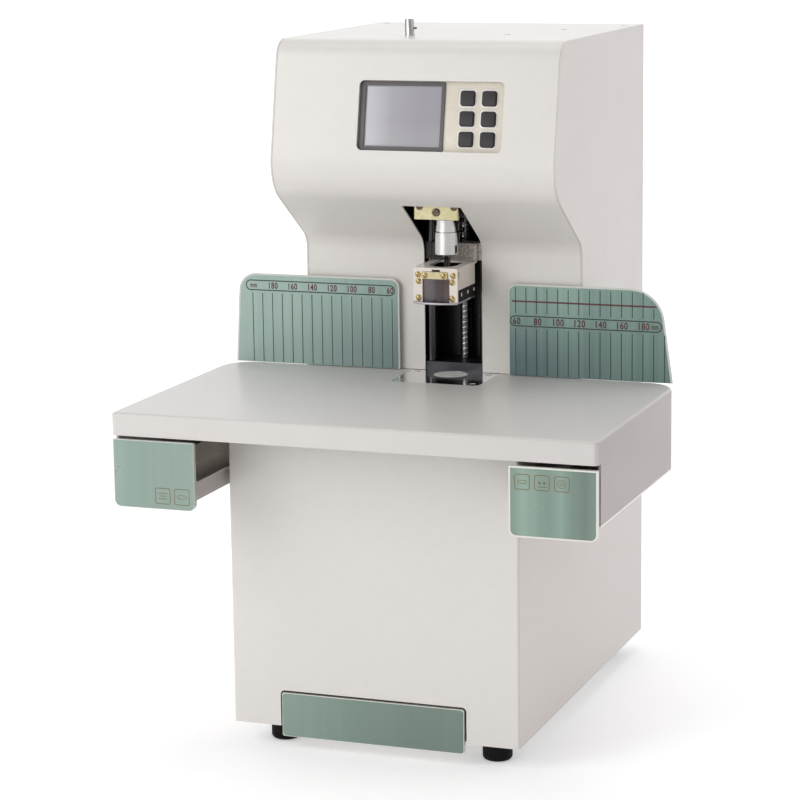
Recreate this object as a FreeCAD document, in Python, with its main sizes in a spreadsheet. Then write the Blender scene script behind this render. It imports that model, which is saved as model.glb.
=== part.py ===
import FreeCAD, Part
import os
import math
import Sketcher

# Document riveting machine: drills a paper stack through the head and rivets it.
# Millimetres, +Z up, front faces -Y.  The origin is on the floor, under the middle of the machine.

os.makedirs("parts", exist_ok=True)
doc = FreeCAD.newDocument("riveting_machine")
V = FreeCAD.Vector
Rot = FreeCAD.Rotation

# ---------------------------------------------------------------- dimensions
TABLE = [
    ("tool_x", 4.5, "drill axis"),
    ("tool_y", 6.5, "drill axis"),
    ("sheet", 1.5, "cabinet sheet thickness"),
    ("base_left", -142.0, "cabinet, left side"),
    ("base_right", 126.5, "cabinet, right side"),
    ("base_front", -165.0, "cabinet, front"),
    ("base_low", 20.5, "cabinet, lower edge"),
    ("rear_in", 234.0, "inner face of the rear cover"),
    ("deck_low", 311.0, "underside of the table sheet"),
    ("deck_top", 313.0, "table surface"),
    ("table_left", -219.2, "table, left side"),
    ("table_right", 217.2, "table, right side"),
    ("table_front", -238.0, "table, front of the apron"),
    ("wing_rear", 26.0, "table wings, rear"),
    ("wing_radius", 30.0, "table wings, rear corner radius"),
    ("wing_low", 239.4, "table side walls, lower edge"),
    ("wing_setback", 10.0, "side walls behind the apron"),
    ("apron_low", 293.0, "front apron, lower edge"),
    ("head_face", 28.5, "lower face of the head"),
    ("head_top", 621.0, "top of the head"),
    ("throat_z", 433.5, "corner between lower face and underside"),
    ("throat_r", 20.0, "its radius"),
    ("nose_y", -59.1, "corner of the nose"),
    ("nose_z", 492.6, "corner of the nose"),
    ("nose_r", 40.0, "its radius"),
    ("brow_y", -33.9, "corner between leaning face and top"),
    ("brow_r", 20.0, "its radius"),
    ("slot_left", -25.5, "tool slot"),
    ("slot_right", 30.5, "tool slot"),
    ("slot_front", -30.0, "front end of the tool slot in the underside"),
    ("lean", 11.15, "lean of the control face, degrees"),
    ("panel_x", 8.1, "middle of the control window"),
    ("panel_y", -46.77, "middle of the control window"),
    ("panel_z", 555.5, "middle of the control window"),
    ("window_w", 135.7, "control window"),
    ("window_h", 62.4, "control window"),
    ("panel_depth", 5.0, "control panel below the face"),
    ("key_side", 13.0, "key cap"),
    ("key_travel", 0.8, "key travel"),
    ("fence_y", 22.5, "front of the fence scales"),
    ("fence_low", 313.4, "fences, lower edge"),
    ("fence_top", 398.0, "fences, upper edge"),
    ("column_dx", 26.0, "guide columns either side of the drill axis"),
    ("column_y", 37.5, "guide columns"),
    ("column_r", 5.2, "guide columns"),
    ("running", 0.05, "radial running clearance"),
    ("screw_y", 58.0, "lift screw"),
    ("screw_r", 5.0, "lift screw"),
    ("shelf_low", 566.0, "upper shelf"),
    ("shelf_top", 572.0, "upper shelf"),
    ("foot_low", 384.0, "sole of the pressing foot"),
    ("foot_half", 21.1, "half width of the pressing foot"),
    ("chuck_r", 10.9, "chuck, lower step"),
    ("chuck_neck_r", 10.4, "chuck, upper step"),
    ("drill_r", 3.0, "hollow drill"),
    ("shank_r", 4.0, "hollow drill, shank in the chuck"),
    ("opening_half", 13.0, "half width of the opening in the foot"),
    ("screw_head_r", 2.9, "screws on the front of the foot"),
    ("tube_x", -39.2, "tube guide"),
    ("tube_y", 35.0, "tube guide"),
    ("scrap_left", -96.7, "scrap drawer opening"),
    ("scrap_right", 78.0, "scrap drawer opening"),
    ("scrap_top", 53.5, "scrap drawer opening"),
    ("drawer_low", 230.6, "drawer fronts, lower edge"),
    ("drawer_top", 290.3, "drawer fronts, upper edge"),
    ("drawer_w", 76.0, "drawer fronts"),
    ("drawer_left_x", -216.9, "left drawer front, left edge"),
    ("drawer_right_x", 141.9, "right drawer front, left edge"),
    ("front_y", -240.0, "drawer fronts"),
    ("foot_r", 13.3, "rubber feet"),
    ("foot_rear_y", 205.0, "rear feet"),
    ("foot_front_y", -134.0, "front feet"),
    ("foot_left_x", -104.9, "left feet"),
    ("foot_right_x", 96.2, "right feet"),
]
sheet = doc.addObject("Spreadsheet::Sheet", "Dimensions")
for row, (alias, value, note) in enumerate(TABLE, 1):
    sheet.set("A%d" % row, note)
    sheet.set("B%d" % row, str(value))
    sheet.setAlias("B%d" % row, alias)
doc.recompute()


class Q:
    """A size: its value and the sheet expression that gives it."""

    def __init__(self, v, e=None):
        self.v = float(v)
        self.e = e if e is not None else ("%.6f" % float(v))

    def mix(self, other, sign, value):
        o = other if isinstance(other, Q) else Q(other)
        return Q(value(self.v, o.v), "(%s %s %s)" % (self.e, sign, o.e))

    def __add__(self, o):
        return self.mix(o, "+", lambda a, b: a + b)

    def __radd__(self, o):
        return Q(o).mix(self, "+", lambda a, b: a + b)

    def __sub__(self, o):
        return self.mix(o, "-", lambda a, b: a - b)

    def __rsub__(self, o):
        return Q(o).mix(self, "-", lambda a, b: a - b)

    def __mul__(self, o):
        return self.mix(o, "*", lambda a, b: a * b)

    def __rmul__(self, o):
        return Q(o).mix(self, "*", lambda a, b: a * b)

    def __neg__(self):
        return Q(-self.v, "(0 - %s)" % self.e)


class Sizes:
    pass


D = Sizes()
for alias, value, note in TABLE:
    setattr(D, alias, Q(float(sheet.get(alias)), "Dimensions." + alias))


def q(a):
    return a if isinstance(a, Q) else Q(a)


def bind(obj, prop, a):
    a = q(a)
    if "Dimensions" in a.e:
        obj.setExpression(prop, a.e)
    else:
        obj.setExpression(prop, "%.6f" % a.v)


def place(obj, x, y, z):
    for axis, a in (("x", x), ("y", y), ("z", z)):
        bind(obj, "Placement.Base." + axis, a)


count = [0]


def fresh(kind, tag):
    count[0] += 1
    o = doc.addObject(kind, "%s_%d" % (tag, count[0]))
    return o


def box(x0, x1, y0, y1, z0, z1, tag="box"):
    b = fresh("Part::Box", tag)
    bind(b, "Length", q(x1) - x0)
    bind(b, "Width", q(y1) - y0)
    bind(b, "Height", q(z1) - z0)
    place(b, x0, y0, z0)
    return b


def cyl(x, y, z, r, length, axis="z", tag="rod"):
    c = fresh("Part::Cylinder", tag)
    bind(c, "Radius", r)
    bind(c, "Height", length)
    if axis == "y":
        c.Placement = FreeCAD.Placement(V(0, 0, 0), Rot(V(1, 0, 0), -90))
    if axis == "x":
        c.Placement = FreeCAD.Placement(V(0, 0, 0), Rot(V(0, 1, 0), 90))
    place(c, x, y, z)
    return c


def fuse(objs, tag="fuse"):
    if len(objs) == 1:
        return objs[0]
    f = fresh("Part::MultiFuse", tag)
    f.Shapes = objs
    f.Refine = True
    return f


def cut(base, tools, tag="cut"):
    c = fresh("Part::Cut", tag)
    c.Base = base
    c.Tool = fuse(tools) if isinstance(tools, list) else tools
    c.Refine = True
    return c


def group(objs, tag="group"):
    c = fresh("Part::Compound", tag)
    c.Links = objs
    return c


def bbox(e):
    return e.BoundBox


def rounded(base, test, r, tag="round"):
    doc.recompute()
    f = fresh("Part::Fillet", tag)
    f.Base = base
    picks = [(i, r, r) for i, e in enumerate(base.Shape.Edges, 1) if test(e)]
    if not picks:
        raise ValueError("no edge to round on " + base.Name)
    f.Edges = picks
    return f


def vertical(e):
    b = e.BoundBox
    return b.ZLength > 0.5 and b.XLength < 1e-4 and b.YLength < 1e-4


def role_plane(body, role):
    for o in body.Origin.OriginFeatures:
        if o.Role == role:
            return o


def sketch(body, role, offset, pts):
    s = body.newObject("Sketcher::SketchObject", "outline_%d" % count[0])
    s.AttachmentSupport = (role_plane(body, role), [""])
    s.MapMode = "FlatFace"
    bind(s, "AttachmentOffset.Base.z", offset)
    pts = [(q(a), q(b)) for a, b in pts]
    n = len(pts)
    for i in range(n):
        a, b = pts[i], pts[(i + 1) % n]
        s.addGeometry(Part.LineSegment(V(a[0].v, a[1].v, 0), V(b[0].v, b[1].v, 0)))
    for i in range(n):
        s.addConstraint(Sketcher.Constraint("Coincident", i, 2, (i + 1) % n, 1))
    for i, (a, b) in enumerate(pts):
        for kind, c in (("DistanceX", a), ("DistanceY", b)):
            if abs(c.v) < 1e-9:
                s.addConstraint(Sketcher.Constraint("PointOnObject", i, 1, -2 if kind == "DistanceX" else -1))
                continue
            k = s.addConstraint(Sketcher.Constraint(kind, -1, 1, i, 1, c.v))
            if "Dimensions" in c.e:
                name = "%s%d" % ("u" if kind == "DistanceX" else "w", i)
                s.renameConstraint(k, name)
                s.setExpression("Constraints." + name, c.e)
    return s


def body(tag):
    count[0] += 1
    return doc.addObject("PartDesign::Body", "%s_%d" % (tag, count[0]))


def dress(b, feature, rounds):
    for test, r, kind in rounds:
        doc.recompute()
        names = ["Edge%d" % i for i, e in enumerate(feature.Shape.Edges, 1) if test(e)]
        if not names:
            raise ValueError("no edge to dress on " + b.Name)
        f = b.newObject("PartDesign::" + kind, "dress_%d" % count[0])
        f.Base = (feature, names)
        if kind == "Fillet":
            f.Radius = r
        else:
            f.Size = r
        feature = f
    return feature


def pad(role, pts, lo, hi, rounds=(), tag="plate"):
    """An outline in a plane, made thick from lo to hi along the plane's own world axis."""
    b = body(tag)
    lo, hi = q(lo), q(hi)
    offset = -hi if role == "XZ_Plane" else lo
    s = sketch(b, role, offset, pts)
    p = b.newObject("PartDesign::Pad", "pad_%d" % count[0])
    p.Profile = s
    bind(p, "Length", hi - lo)
    dress(b, p, rounds)
    return b


def turned(pts, x, y, z=0, rounds=(), tag="turned"):
    """A profile (radius, height) turned about an upright axis."""
    b = body(tag)
    s = sketch(b, "XZ_Plane", 0, pts)
    r = b.newObject("PartDesign::Revolution", "turn_%d" % count[0])
    r.Profile = s
    r.ReferenceAxis = (s, ["V_Axis"])
    r.Angle = 360.0
    dress(b, r, rounds)
    place(b, x, y, z)
    return b


def feature(shape, tag="shape"):
    f = fresh("Part::Feature", tag)
    f.Shape = shape
    return f


NODES = []


def node(name, obj):
    NODES.append((name, obj))
    return obj


def near(a, b, tol=0.02):
    return abs(a - b) < tol


# ---------------------------------------------------------------- cabinet
t = D.sheet
x0, x1, y0 = D.base_left, D.base_right, D.base_front
yr = D.rear_in - 0.2
shell = pad(
    "XY_Plane",
    [(x0, y0), (x1, y0), (x1, yr), (x1 - 12, yr), (x1 - 12, yr - t), (x1 - t, yr - t),
     (x1 - t, y0 + t), (x0 + t, y0 + t), (x0 + t, yr - t), (x0 + 12, yr - t), (x0 + 12, yr), (x0, yr)],
    D.base_low, D.deck_low,
    rounds=[
        (lambda e: vertical(e) and near(e.BoundBox.YMin, -165.0), 2.5, "Fillet"),
        (lambda e: vertical(e) and near(e.BoundBox.YMin, -163.5), 1.0, "Fillet"),
    ], tag="cabinet")
notch = rounded(
    box(D.scrap_left, D.scrap_right, y0 - 5, y0 + 5, D.base_low - 10, D.scrap_top),
    lambda e: e.BoundBox.YLength > 5 and near(e.BoundBox.ZMax, 53.5), 4.0)
screw_x = [D.base_left + 6, D.base_right - 6]
low_holes = [cyl(x, 228, z, 1.6, 12, "y") for x in screw_x for z in (30, 220)]
node("base_shell", cut(shell, [notch] + low_holes))

plate = box(x0 + t, x1 - t, y0 + t, D.rear_in - 2.2, D.base_low, D.base_low + 2)
node("base_plate", cut(plate, [box(D.scrap_left, D.scrap_right, y0, y0 + 7, 10, 30)]))

feet = []
for fx in (D.foot_left_x, D.foot_right_x):
    for fy in (D.foot_front_y, D.foot_rear_y):
        feet.append(turned([(0, 0), (D.foot_r, 0), (D.foot_r, D.base_low), (0, D.base_low)], fx, fy, 0,
                           rounds=[(lambda e: near(e.BoundBox.ZMax, 0) and e.BoundBox.XLength > 20, 4.0, "Fillet"),
                                   (lambda e: near(e.BoundBox.ZMin, 20.5) and e.BoundBox.XLength > 20, 1.0, "Chamfer")],
                           tag="rubber"))
node("rubber_feet", group(feet))

# rear cover with louvre slots, screw holes and a cut-out for the inlet
rear = box(x0, x1, D.rear_in, D.rear_in + t, D.base_low, D.head_top)
tools = [cyl(x, 228, z, 1.6, 12, "y") for x in screw_x for z in (30, 220, 420, 612)]
for k in range(8):
    tools.append(box(-58, 42, 230, 240, 470 + 12 * k, 473.5 + 12 * k))
    tools.append(box(-110, -30, 230, 240, 90 + 12 * k, 93.5 + 12 * k))
tools.append(box(32.5, 94.5, 230, 240, 61.5, 88.5))
node("rear_cover", cut(rear, tools))

screws = []
for x in screw_x:
    for z in (30, 220, 420, 612):
        screws.append(fuse([cyl(x, 228.5, z, 1.5, 7, "y"),
                            rounded(cyl(x, 235.5, z, 3.2, 2.0, "y"),
                                    lambda e: near(e.BoundBox.YMin, 237.5) and e.BoundBox.YLength < 0.01, 0.9)]))
node("cover_screws", group(screws))

# ---------------------------------------------------------------- head
def polyline(offset):
    """Head outline from the lower face over nose and brow to the rear, moved inwards by offset."""
    p = [(D.head_face.v, D.deck_top.v + 0.3), (D.head_face.v, D.throat_z.v), (D.nose_y.v, D.nose_z.v),
         (D.brow_y.v, D.head_top.v), (D.rear_in.v - 0.3, D.head_top.v)]
    lines = []
    for a, b in zip(p[:-1], p[1:]):
        dy, dz = b[0] - a[0], b[1] - a[1]
        n = math.hypot(dy, dz)
        ny, nz = dz / n, -dy / n
        lines.append(((a[0] + ny * offset, a[1] + nz * offset), (dy / n, dz / n)))
    out = [(p[0][0] + offset, p[0][1])]
    for (a, u), (b, w) in zip(lines[:-1], lines[1:]):
        den = u[0] * w[1] - u[1] * w[0]
        k = ((b[0] - a[0]) * w[1] - (b[1] - a[1]) * w[0]) / den
        out.append((a[0] + u[0] * k, a[1] + u[1] * k))
    out.append((p[-1][0], p[-1][1] - offset))
    return out, [D.throat_r.v + offset, D.nose_r.v - offset, D.brow_r.v - offset]


def bent(pts, radii, x):
    """Edges of a polyline with rounded corners, at one x."""
    edges = []
    last = V(x, *pts[0])
    for i, r in enumerate(radii, 1):
        a, c, b = V(x, *pts[i - 1]), V(x, *pts[i]), V(x, *pts[i + 1])
        u, w = (a - c).normalize(), (b - c).normalize()
        half = math.acos(max(-1, min(1, u.dot(w)))) / 2
        reach = r / math.tan(half)
        s, e = c + u * reach, c + w * reach
        m = (u + w).normalize()
        mid = c + m * (r / math.sin(half) - r)
        edges.append(Part.LineSegment(last, s).toShape())
        edges.append(Part.Arc(s, mid, e).toShape())
        last = e
    edges.append(Part.LineSegment(last, V(x, *pts[-1])).toShape())
    return edges


def strip(xa, xb, d0, d1):
    po, ro = polyline(d0)
    pi, ri = polyline(d1)
    outer, inner = bent(po, ro, xa), bent(pi, ri, xa)
    ends = [Part.LineSegment(V(xa, *po[0]), V(xa, *pi[0])).toShape(),
            Part.LineSegment(V(xa, *po[-1]), V(xa, *pi[-1])).toShape()]
    w = Part.Wire(Part.__sortEdges__(outer + inner + ends))
    return Part.Face(w).extrude(V(xb - xa, 0, 0))


def tilted(u0, u1, d0, d1, w0, w1):
    """A block in the control face's own frame: across, inwards, up."""
    b = Part.makeBox(u1 - u0, d1 - d0, w1 - w0, V(u0, d0, w0))
    b.Placement = FreeCAD.Placement(V(D.panel_x.v, D.panel_y.v, D.panel_z.v), Rot(V(1, 0, 0), -D.lean.v))
    return b


def edges_along(shape, direction, tol=1e-4):
    out = []
    for e in shape.Edges:
        if len(e.Vertexes) == 2 and e.Curve.TypeId == "Part::GeomLine":
            d = (e.Vertexes[1].Point - e.Vertexes[0].Point).normalize()
            if abs(abs(d.dot(direction)) - 1) < tol:
                out.append(e)
    return out


lean = math.radians(D.lean.v)
inward = V(0, math.cos(lean), -math.sin(lean))

cover = strip(D.base_left.v + 1.7, D.base_right.v - 1.7, 0, D.sheet.v)
cover = cover.cut(Part.makeBox(D.slot_right.v - D.slot_left.v, 80, 200,
                               V(D.slot_left.v, D.slot_front.v, D.deck_top.v - 5)))
hw, hh = D.window_w.v / 2, D.window_h.v / 2
window = tilted(-hw, hw, -6, 6, -hh, hh)
window = window.makeFillet(5.0, edges_along(window, inward))
cover = cover.cut(window)
cover = cover.cut(Part.makeCylinder(4.7, 20, V(D.tube_x.v, D.tube_y.v, D.head_top.v - 10)))
node("head_cover", feature(cover, "head_cover"))


def side(xa, xb, fa, fb):
    po, ro = polyline(0)
    edges = bent(po, ro, xa)
    edges.append(Part.LineSegment(V(xa, *po[-1]), V(xa, po[-1][0], po[0][1])).toShape())
    edges.append(Part.LineSegment(V(xa, po[-1][0], po[0][1]), V(xa, *po[0])).toShape())
    s = Part.Face(Part.Wire(Part.__sortEdges__(edges))).extrude(V(xb - xa, 0, 0))
    s = s.fuse(strip(fa, fb, D.sheet.v, D.sheet.v * 2))
    f0 = min(fa, fb)
    s = s.fuse(Part.makeBox(abs(fb - fa), D.sheet.v, 300, V(f0, D.rear_in.v - 0.3 - D.sheet.v, D.deck_top.v + 1)))
    for z in (420, 612):
        s = s.cut(Part.makeCylinder(1.6, 12, V(screw_x[0].v if xa < 0 else screw_x[1].v, 228, z), V(0, 1, 0)))
    return s.removeSplitter()


node("head_side_left", feature(side(D.base_left.v, D.base_left.v + 1.5, D.base_left.v + 1.5, D.base_left.v + 13), "side"))
node("head_side_right", feature(side(D.base_right.v - 1.5, D.base_right.v, D.base_right.v - 13, D.base_right.v - 1.5), "side"))

# ---------------------------------------------------------------- table
def is_rear_corner(y):
    return lambda e: vertical(e) and near(e.BoundBox.YMin, y)


outer = pad("XY_Plane", [(D.table_left, D.table_front), (D.table_right, D.table_front),
                         (D.table_right, D.wing_rear), (D.table_left, D.wing_rear)],
            D.wing_low, D.deck_top,
            rounds=[(is_rear_corner(26.0), 30.0, "Fillet"),
                    (is_rear_corner(-238.0), 4.0, "Fillet"),
                    (lambda e: near(e.BoundBox.ZMin, 313.0) and near(e.BoundBox.ZMax, 313.0), 2.6, "Fillet")],
            tag="table")
inner = pad("XY_Plane", [(D.table_left + 2, D.table_front + 2), (D.table_right - 2, D.table_front + 2),
                         (D.table_right - 2, D.wing_rear - 2), (D.table_left + 2, D.wing_rear - 2)],
            D.wing_low - 5, D.deck_low,
            rounds=[(is_rear_corner(24.0), 28.0, "Fillet"), (is_rear_corner(-236.0), 2.0, "Fillet")],
            tag="table")
walls = cut(outer, [inner,
                    box(-230, 230, D.table_front - 2, D.table_front + D.wing_setback, D.wing_low - 5, D.apron_low),
                    box(D.base_left - 0.3, D.base_right + 0.3, 18, 40, D.wing_low - 5, D.deck_low)])
deck = box(D.base_left, D.base_right, 22, D.rear_in - 0.3, D.deck_low, D.deck_top)
table = cut(fuse([walls, deck]), [
    rounded(box(-38, 47, -34, 72, D.deck_low - 5, D.deck_top + 5), vertical, 6.0),
    box(58, 90, 50, 80, D.deck_low - 5, D.deck_top + 5)])
node("work_table", table)

pad_y = D.tool_y + 7
anvil = fuse([rounded(box(-37.8, 46.8, -33.8, 71.8, D.deck_low, D.deck_top), vertical, 5.8),
              box(-43, 52, -39, 77, D.deck_low - 2, D.deck_low)])
anvil_cut = [cyl(D.tool_x, pad_y, 300, Q(16) + D.running, 20)]
for sx in (-30, 39):
    for sy in (-26, 20):
        anvil_cut.append(cyl(sx, sy, 311.6, 3.0, 5))
node("anvil_plate", cut(anvil, anvil_cut))
node("cutting_pad", turned([(0, 305), (18, 305), (18, 308.7), (16, 308.7), (16, 312.8), (0, 312.8)], D.tool_x, pad_y,
                           0, rounds=[(lambda e: near(e.BoundBox.ZMin, 312.8) and e.BoundBox.XLength > 20, 0.4, "Chamfer")]))

chute_hi = [(58.3, 50.3), (89.7, 50.3), (89.7, 79.7), (58.3, 79.7)]
chute_lo = [(10.0, -72.0), (42.0, -72.0), (42.0, -42.0), (10.0, -42.0)]


def ring(pts, z, inset):
    cx = sum(p[0] for p in pts) / 4
    cy = sum(p[1] for p in pts) / 4
    c = [V(x - math.copysign(inset, x - cx), y - math.copysign(inset, y - cy), z) for x, y in pts]
    return Part.makePolygon(c + [c[0]])


duct = Part.makeLoft([ring(chute_lo, 60, 0), ring(chute_hi, 311, 0)], True, True)
duct = duct.fuse(Part.makeBox(31.4, 29.4, 2, V(58.3, 50.3, 311)))
duct = duct.fuse(Part.makeBox(36, 34, 1.5, V(56, 48, 313)))
bore = Part.makeLoft([ring(chute_lo, 60, 1.2), ring(chute_hi, 311, 1.2)], True, True)
bore = bore.fuse(Part.makeBox(29.0, 27.0, 8, V(59.5, 51.5, 311)))
bore = bore.fuse(Part.makeBox(29.6, 27.6, 8, V(11.2, -70.8, 52)))
node("chip_chute", feature(duct.cut(bore).removeSplitter(), "chute"))

# ---------------------------------------------------------------- fences
def corner(x, z):
    return lambda e: e.BoundBox.YLength > 0.1 and near(e.BoundBox.XMin, x, 0.3) and near(e.BoundBox.ZMin, z, 0.3) \
        and e.BoundBox.XLength < 1e-3 and e.BoundBox.ZLength < 1e-3


zl, zt = D.fence_low, D.fence_top
fy = D.fence_y
node("left_fence", pad("XZ_Plane", [(-213.5, zl), (-48.5, zl), (-48.5, zt), (-208.6, zt)], fy + 0.3, fy + 2.3,
                       rounds=[(corner(-208.6, 398.0), 17.0, "Fillet"), (corner(-48.5, 398.0), 8.0, "Fillet")],
                       tag="fence"))
node("right_fence", pad("XZ_Plane", [(57.2, zl), (212.0, zl), (200.0, zt), (57.2, zt)], fy + 0.3, fy + 2.3,
                        rounds=[(corner(200.0, 398.0), 32.0, "Fillet"), (corner(57.2, 398.0), 8.0, "Fillet")],
                        tag="fence"))
scale_l = pad("XZ_Plane", [(-211.7, zl + 0.2), (-50.1, zl + 0.2), (-50.1, zt - 1.6), (-206.9, zt - 1.6)], fy, fy + 0.3,
              rounds=[(corner(-206.9, 396.4), 15.4, "Fillet"), (corner(-50.1, 396.4), 6.4, "Fillet")], tag="scale")
scale_r = pad("XZ_Plane", [(58.8, zl + 0.2), (210.1, zl + 0.2), (198.6, zt - 1.6), (58.8, zt - 1.6)], fy, fy + 0.3,
              rounds=[(corner(198.6, 396.4), 30.4, "Fillet"), (corner(58.8, 396.4), 6.4, "Fillet")], tag="scale")
node("fence_scales", group([scale_l, scale_r]))
node("fence_spacers", group([cyl(x, fy + 2.3, z, 4.0, D.head_face - D.fence_y - 2.3, "y")
                             for x in (-128, -66, 72, 116) for z in (335, 380)]))

# ---------------------------------------------------------------- control panel
UP = V(0, math.sin(lean), math.cos(lean))
FACE = FreeCAD.Placement(V(D.panel_x.v, D.panel_y.v, D.panel_z.v), Rot(V(1, 0, 0), -D.lean.v))
d0 = D.panel_depth.v
KEYS = {"key_left_top": (33.2, 16.9), "key_left_middle": (33.2, -1.2), "key_left_bottom": (33.2, -19.3),
        "key_right_top": (53.2, 16.9), "key_right_middle": (53.2, -1.2), "key_right_bottom": (53.2, -19.3)}
ks = D.key_side.v / 2
panel = tilted(-74, 74, d0, d0 + 2, -35.5, 35.5)
panel = panel.makeFillet(4.0, edges_along(panel, inward))
for su in (-71, 71):
    for sw in (-25, 25):
        post = Part.makeCylinder(2.6, d0 - D.sheet.v, V(su, D.sheet.v, sw), V(0, 1, 0))
        post.Placement = FACE.multiply(post.Placement)
        panel = panel.fuse(post)
panel = panel.cut(tilted(-26.9 - 36.5, -26.9 + 36.5, d0 - 1, d0 + 4, -28, 28))
for u, w in KEYS.values():
    h = tilted(u - ks - 0.3, u + ks + 0.3, d0 - 1, d0 + 4, w - ks - 0.3, w + ks + 0.3)
    panel = panel.cut(h.makeFillet(2.4, edges_along(h, inward)))
node("control_panel", feature(panel.removeSplitter(), "panel"))

bezel = tilted(-67.5, -26.9 + 39, d0 - 1.4, d0, -30.7, 30.7)
bezel = bezel.makeFillet(2.0, edges_along(bezel, inward))
bezel = bezel.cut(tilted(-26.9 - 35.7, -26.9 + 35.7, d0 - 2, d0 + 1, -27.1, 27.1))
node("display_bezel", feature(bezel, "bezel"))
node("display_glass", feature(tilted(-26.9 - 36.3, -26.9 + 36.3, d0 + 0.02, d0 + 2.2, -27.8, 27.8), "glass"))

board = tilted(-70, 70, d0 + 9, d0 + 10.6, -32, 32)
board = board.fuse(tilted(-26.9 - 30, -26.9 + 30, d0 + 2.3, d0 + 9, -22, 22))
for u, w in KEYS.values():
    board = board.fuse(tilted(u - 3, u + 3, d0 + 5.2, d0 + 9, w - 3, w + 3))
for su in (-66, 66):
    for sw in (-28, 28):
        post = Part.makeCylinder(2.2, 7, V(su, d0 + 2, sw), V(0, 1, 0))
        post.Placement = FACE.multiply(post.Placement)
        board = board.fuse(post)
node("control_board", feature(board.removeSplitter(), "board"))

for name, (u, w) in KEYS.items():
    cap = body("key")
    s = sketch(cap, "XZ_Plane", -9.0 + 0.0, [(-ks + 0.0, -ks), (ks, -ks), (ks, ks), (-ks, ks)])
    p = cap.newObject("PartDesign::Pad", "cap_pad_%d" % count[0])
    p.Profile = s
    p.Length = 6.6
    top = dress(cap, p, [
        (lambda e: e.BoundBox.YLength > 3, 2.2, "Fillet"),
        (lambda e: near(e.BoundBox.YMax, 2.4) and e.BoundBox.YLength < 0.01, 0.7, "Fillet")])
    s2 = sketch(cap, "XZ_Plane", -9.0 - 0.0, [(-ks - 1.2, -ks - 1.2), (ks + 1.2, -ks - 1.2), (ks + 1.2, ks + 1.2), (-ks - 1.2, ks + 1.2)])
    p2 = cap.newObject("PartDesign::Pad", "cap_rim_%d" % count[0])
    p2.Profile = s2
    p2.Length = 1.6
    cap.Tip = p2
    cap.Placement = FACE.multiply(FreeCAD.Placement(V(u, 0, w), Rot()))
    node(name, cap)

# ---------------------------------------------------------------- main frame, columns, lift
cx = [D.tool_x - D.column_dx, D.tool_x + D.column_dx]
cy = D.column_y
frame_parts = [box(-60, 50, 70, 74, D.deck_top + 8, D.shelf_low),
               box(-60, 50, 30.5, 74, D.deck_top, D.deck_top + 8),
               box(-60, 50, 26, 74, D.shelf_low, D.shelf_top)]
for gx in (-60, 46):
    frame_parts.append(pad("YZ_Plane", [(70, D.deck_top + 8), (50, D.deck_top + 8), (70, D.deck_top + 90)], gx, gx + 4))
    frame_parts.append(pad("YZ_Plane", [(70, D.shelf_low), (30, D.shelf_low), (70, D.shelf_low - 80)], gx, gx + 4))
frame_cut = [cyl(x, cy, 300, D.column_r, 300) for x in cx]
frame_cut.append(cyl(D.tool_x, D.screw_y, 300, Q(3) + D.running, 300))
frame_cut.append(cyl(D.tube_x, D.tube_y, 560, 4.0, 20))
node("main_frame", cut(fuse(frame_parts), frame_cut))
node("guide_columns", group([rounded(cyl(x, cy, D.deck_top + 1, D.column_r, D.shelf_top - D.deck_top - 2),
                                     lambda e: e.BoundBox.ZLength < 0.01, 0.8) for x in cx]))
node("lift_motor", turned([(3.3, 572), (20, 572), (20, 576), (18.5, 576), (18.5, 604), (16, 607), (7, 607), (7, 611),
                           (0, 611), (0, 583), (3.3, 583)], D.tool_x, D.screw_y))
node("lift_screw", turned([(0, 313.4), (3, 313.4), (3, 321.3), (D.screw_r, 321.3), (D.screw_r, 565.7), (3, 565.7),
                           (3, 582.0), (0, 582.0)], D.tool_x, D.screw_y))

# ---------------------------------------------------------------- tool carriage
w0, w1 = D.tool_x - 19.7, D.tool_x + 19.7
rear_block = rounded(box(-38, 47, 31.5, 50, 472, 520), vertical, 3.0)
car = fuse([rear_block, box(w0, w1, 21.3, 32.5, 472, 480), box(w0, w1, -21, 21.5, 462, 480),
            box(D.tool_x - 13, D.tool_x + 13, 49.5, 68, 484, 506)])
car_cut = [cyl(x, cy, 460, D.column_r + D.running, 80) for x in cx]
car_cut += [cyl(D.tool_x, cy, 460, Q(3.5) + D.running, 80), cyl(D.tool_x, cy, 471, 7.4, 29),
            cyl(D.tool_x, D.tool_y, 455, Q(5.0) + D.running, 30),
            cyl(D.tool_x, D.screw_y, 480, D.screw_r + D.running, 30),
            cyl(D.tool_x, -22, 467.1, 1.5, 9, "y")]
plate_screws = [(D.tool_x, 467.1, 3.7), (D.tool_x - 15.7, 471.8, 2.9), (D.tool_x + 17.0, 471.8, 2.9)]
car_cut += [cyl(x, -22, z, 1.5, 9, "y") for x, z, r in plate_screws[1:]]
node("tool_carriage", cut(car, car_cut))
hand = D.tool_x
gold = fuse([box(hand - 21.3, hand + 21.3, -22.5, -21, 460.4, 478),
             box(hand - 21.3, hand - 19.8, -21.5, -16.5, 462, 478),
             box(hand + 19.8, hand + 21.3, -21.5, -16.5, 462, 478)])
gold = cut(gold, [cyl(x, -25, z, 1.7, 6, "y") for x, z, r in plate_screws])
node("carriage_front_plate", rounded(gold, lambda e: vertical(e) and near(e.BoundBox.YMin, -22.5), 1.3))
pans = []
for x, z, r in plate_screws:
    pan = rounded(cyl(x, -24.7, z, r, 2.2, "y"), lambda e: near(e.BoundBox.YMax, -24.7), r * 0.32)
    cross = [box(x - r * 0.64, x + r * 0.64, -25, -23.9, z - 0.5, z + 0.5),
             box(x - 0.5, x + 0.5, -25, -23.9, z - r * 0.64, z + r * 0.64)]
    pans.append(cut(fuse([pan, cyl(x, -22.6, z, 1.5, 8, "y")]), cross))
node("front_plate_screws", group(pans))
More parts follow.
